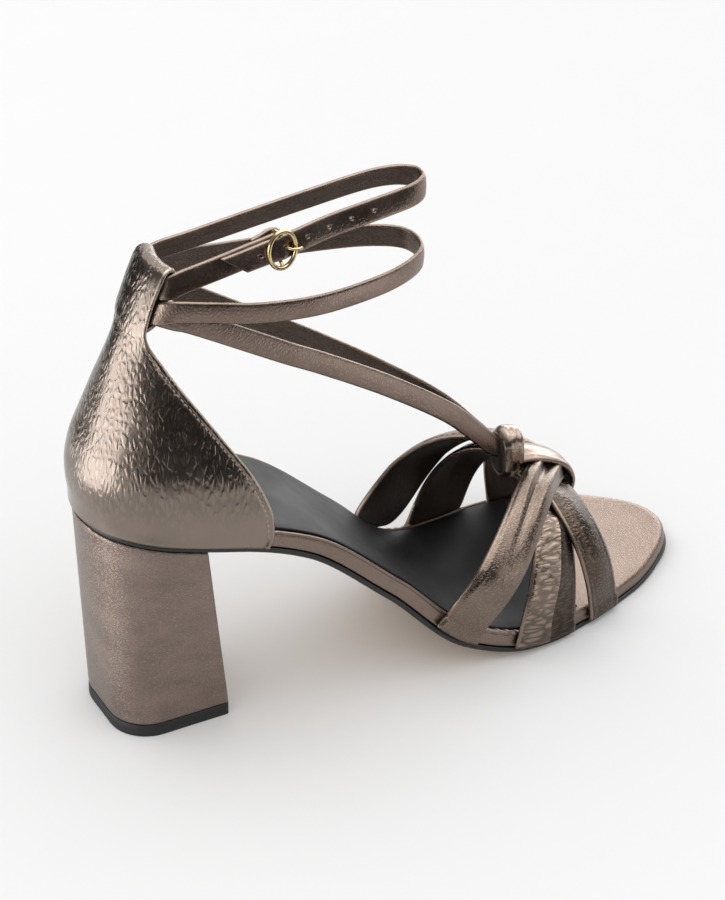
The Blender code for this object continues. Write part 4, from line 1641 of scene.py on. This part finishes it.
@dataclass
class Buckle:
    """Oval wire buckle with a bar behind the strap, and its prong."""

    x: float = 43.0
    z: float = 168.4
    half_length: float = 4.6
    half_height: float = 6.6
    thickness: float = 0.75
    bar_y: float = -7.6
    bar_thickness: float = 0.6
    prong_thickness: float = 0.5
    ring_points: int = 96
    ring_sides: int = 18
    bar_step: float = 0.4
    prong_step: float = 0.3
    # distance out of the bar, and height over or under its middle
    bar_steps: tuple[Pair, ...] = (
        (5.9, 6.2), (4.8, 5.0), (3.6, 4.6), (2.2, 4.4), (1.0, 4.1), (0.2, 3.6), (0.0, 3.0),
    )
    # distance along the strap and out of the bar
    prong_steps: tuple[Pair, ...] = (
        (0.2, 1.4), (0.9, 2.9), (1.6, 4.6), (2.6, 6.6), (4.6, 7.7), (6.2, 7.4),
    )

    def build(self) -> list[Item]:
        """Build the ring, the bar and the prong.

        Returns:
            The pieces.
        """
        turns = full_turn(self.ring_points)
        x = self.x + self.half_length * np.cos(turns)
        z = self.z + self.half_height * np.sin(turns)
        oval = np.stack([x, np.full_like(x, self.bar_y - self.bar_steps[0][0]), z], axis=1)
        ring = wire("buckle_ring", oval, self.thickness, GOLD, closed=True, sides=self.ring_sides)
        upper = [(self.x, self.bar_y - out, self.z + rise) for out, rise in self.bar_steps]
        under = [(self.x, self.bar_y - out, self.z - rise) for out, rise in reversed(self.bar_steps)]
        bar = wire("buckle_bar", spline(upper + under, self.bar_step), self.bar_thickness, GOLD)
        for piece in (ring, bar):
            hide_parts("buckle_frame")
        points = [(self.x + along, self.bar_y - out, self.z) for along, out in self.prong_steps]
        path = spline(points, self.prong_step)
        prong = wire("prong_wire", path, self.prong_thickness, GOLD)
        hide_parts("buckle_prong")
        return [ring, bar, prong]


@dataclass(frozen=True)
class Softbox:
    """A lit panel: where it stands, what it faces, its size and how bright it is next to white paper."""

    name: str
    place: Triple
    at: Triple
    size: Pair
    brightness: float
    reach: Reach


@dataclass
class Studio:
    """Pale floor, soft light and the camera."""

    eye: Triple = (-460.6, -1036.17, 879.92)
    aim: Triple = (82.4, 8.5, 67.1)
    lens: float = 173.4
    sensor: float = 36.0
    floor_half: float = 4000.0
    room_light: float = 0.82
    room_in_gloss: float = 0.22
    softboxes: tuple[Softbox, ...] = (
        Softbox("sky_panel", (120.0, -500.0, 2000.0), (120.0, -499.0, 0.0), (3600.0, 3600.0), 0.42,
                Reach.MATT),
        Softbox("key_softbox", (-450.0, 700.0, 1200.0), (90.0, 0.0, 40.0), (900.0, 900.0), 0.8, Reach.MATT),
        Softbox("key_sheen", (-450.0, 700.0, 1200.0), (90.0, 0.0, 40.0), (900.0, 900.0), 1.7, Reach.GLOSS),
        Softbox("overhead_panel", (450.0, 50.0, 800.0), (450.0, 51.0, 20.0), (1700.0, 2300.0), 1.38,
                Reach.GLOSS),
        Softbox("top_panel", (150.0, 0.0, 700.0), (150.0, 1.0, 20.0), (620.0, 620.0), 1.5, Reach.GLOSS),
        Softbox("toe_panel", (620.0, -44.0, 380.0), (150.0, 0.0, 40.0), (460.0, 280.0), 1.8, Reach.GLOSS),
        Softbox("toe_low_panel", (518.0, 268.0, 90.0), (150.0, 0.0, 60.0), (400.0, 160.0), 2.4, Reach.GLOSS),
        Softbox("back_panel", (505.0, 506.0, 250.0), (150.0, 0.0, 50.0), (700.0, 240.0), 3.2, Reach.GLOSS),
        Softbox("front_panel", (185.0, -130.0, 45.0), (150.0, -30.0, 40.0), (90.0, 64.0), 1.15, Reach.GLOSS),
        Softbox("left_panel", (-235.0, 25.0, 80.0), (-20.0, 25.0, 80.0), (300.0, 158.0), 3.8, Reach.GLOSS),
        Softbox("left_floor_glow", (-78.0, -12.0, 1.0), (-78.0, -11.9, 100.0), (46.0, 66.0), 0.5,
                Reach.GLOSS),
    )
    # ends in plan, foot and top of the dark curtains before and behind the set
    curtains: tuple[tuple[Pair, Pair, float, float], ...] = (
        ((-154.0, -250.0), (560.0, -270.0), 0.0, 205.0),
        ((-160.0, 118.0), (-30.0, 205.0), 70.0, 215.0),
    )

    def build(self) -> None:
        """Build the floor, the lights and the camera."""
        self.sheet("floor", FLOOR, Matrix.Scale(2 * self.floor_half * MM, 4))
        for number, curtain in enumerate(self.curtains):
            self.hang_curtain(f"dark_curtain_{number}", *curtain)
        for softbox in self.softboxes:
            self.light(softbox)
        world = bpy.data.worlds.new("studio")
        world.use_nodes = True
        graph = Graph(world.node_tree)
        sky = world.node_tree.nodes["Background"]
        gloss = graph.add("LightPath").outputs["Is Glossy Ray"]
        strength = graph.times_plus(gloss, self.room_in_gloss - self.room_light, self.room_light)
        graph.feed(sky, {"Color": linear("#ffffff"), "Strength": strength})
        bpy.context.scene.world = world
        bpy.context.scene.view_settings.view_transform = "Standard"
        camera = bpy.data.cameras.new("camera")
        camera.lens = self.lens
        camera.sensor_width = self.sensor
        item = bpy.data.objects.new("camera", camera)
        bpy.context.scene.collection.objects.link(item)
        self.point(item, self.eye, self.aim)
        bpy.context.scene.camera = item

    def sheet(self, name: str, finish: Finish, matrix: Matrix) -> Item:
        """Add a flat sheet of the studio.

        Args:
            name: its name.
            finish: its finish.
            matrix: what turns a unit square on the floor into the sheet.

        Returns:
            The new object.
        """
        bm = bmesh.new()
        bmesh.ops.create_grid(bm, x_segments=2, y_segments=2, size=0.5, matrix=matrix)
        item = into_scene(name, bm, [finish])
        return item

    def hang_curtain(
        self, name: str, start: Sequence[float], end: Sequence[float], foot: float, top: float,
    ) -> None:
        """Hang a dark curtain by the set, which only gloss sees, as the dim part of the room.

        Args:
            name: its name.
            start: one end in plan.
            end: the other end.
            foot: height of its hem.
            top: height of its top.
        """
        run = Vector(end) - Vector(start)
        turn = Matrix.Rotation(math.atan2(run.y, run.x), 4, "Z") @ Matrix.Rotation(math.pi / 2, 4, "X")
        size = Matrix.Diagonal((run.length * MM, (top - foot) * MM, 1.0, 1.0))
        middle = Vector((*((Vector(start) + Vector(end)) / 2), (foot + top) / 2))
        curtain = self.sheet(name, TOP_PIECE, Matrix.Translation(middle * MM) @ turn @ size)
        curtain.visible_camera = False
        curtain.visible_diffuse = False
        curtain.visible_shadow = False

    def point(self, item: Item, place: Sequence[float], at: Sequence[float]) -> None:
        """Stand a light or the camera at a place and turn it to a point."""
        turn = (Vector(at) - Vector(place)).to_track_quat("-Z", "Y")
        item.matrix_world = Matrix.Translation(Vector(place) * MM) @ turn.to_matrix().to_4x4()

    def light(self, softbox: Softbox) -> None:
        """Add a softbox's lamp.

        Args:
            softbox: the softbox.
        """
        lamp = bpy.data.lights.new(softbox.name, "AREA")
        lamp.shape = "RECTANGLE"
        lamp.size, lamp.size_y = [side * MM for side in softbox.size]
        lamp.energy = softbox.brightness * math.pi * lamp.size * lamp.size_y
        item = bpy.data.objects.new(softbox.name, lamp)
        bpy.context.scene.collection.objects.link(item)
        item.visible_camera = False
        item.visible_diffuse = softbox.reach is not Reach.GLOSS
        item.visible_glossy = softbox.reach is not Reach.MATT
        self.point(item, softbox.place, softbox.at)


def main() -> None:
    """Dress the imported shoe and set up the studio."""
    logging.basicConfig(level=logging.INFO, format="%(name)s: %(message)s")
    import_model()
    last = Last()
    on_last = [kind(last) for kind in (SoleUnit, BlockHeel, HeelCounter, ToeStraps)]
    for assembly in (*on_last, Knot(), AnkleStraps(), Buckle()):
        for piece in assembly.build():
            log.info("%s built by %s", piece.name, type(assembly).__name__)
    Studio().build()


if __name__ == "__main__":
    main()
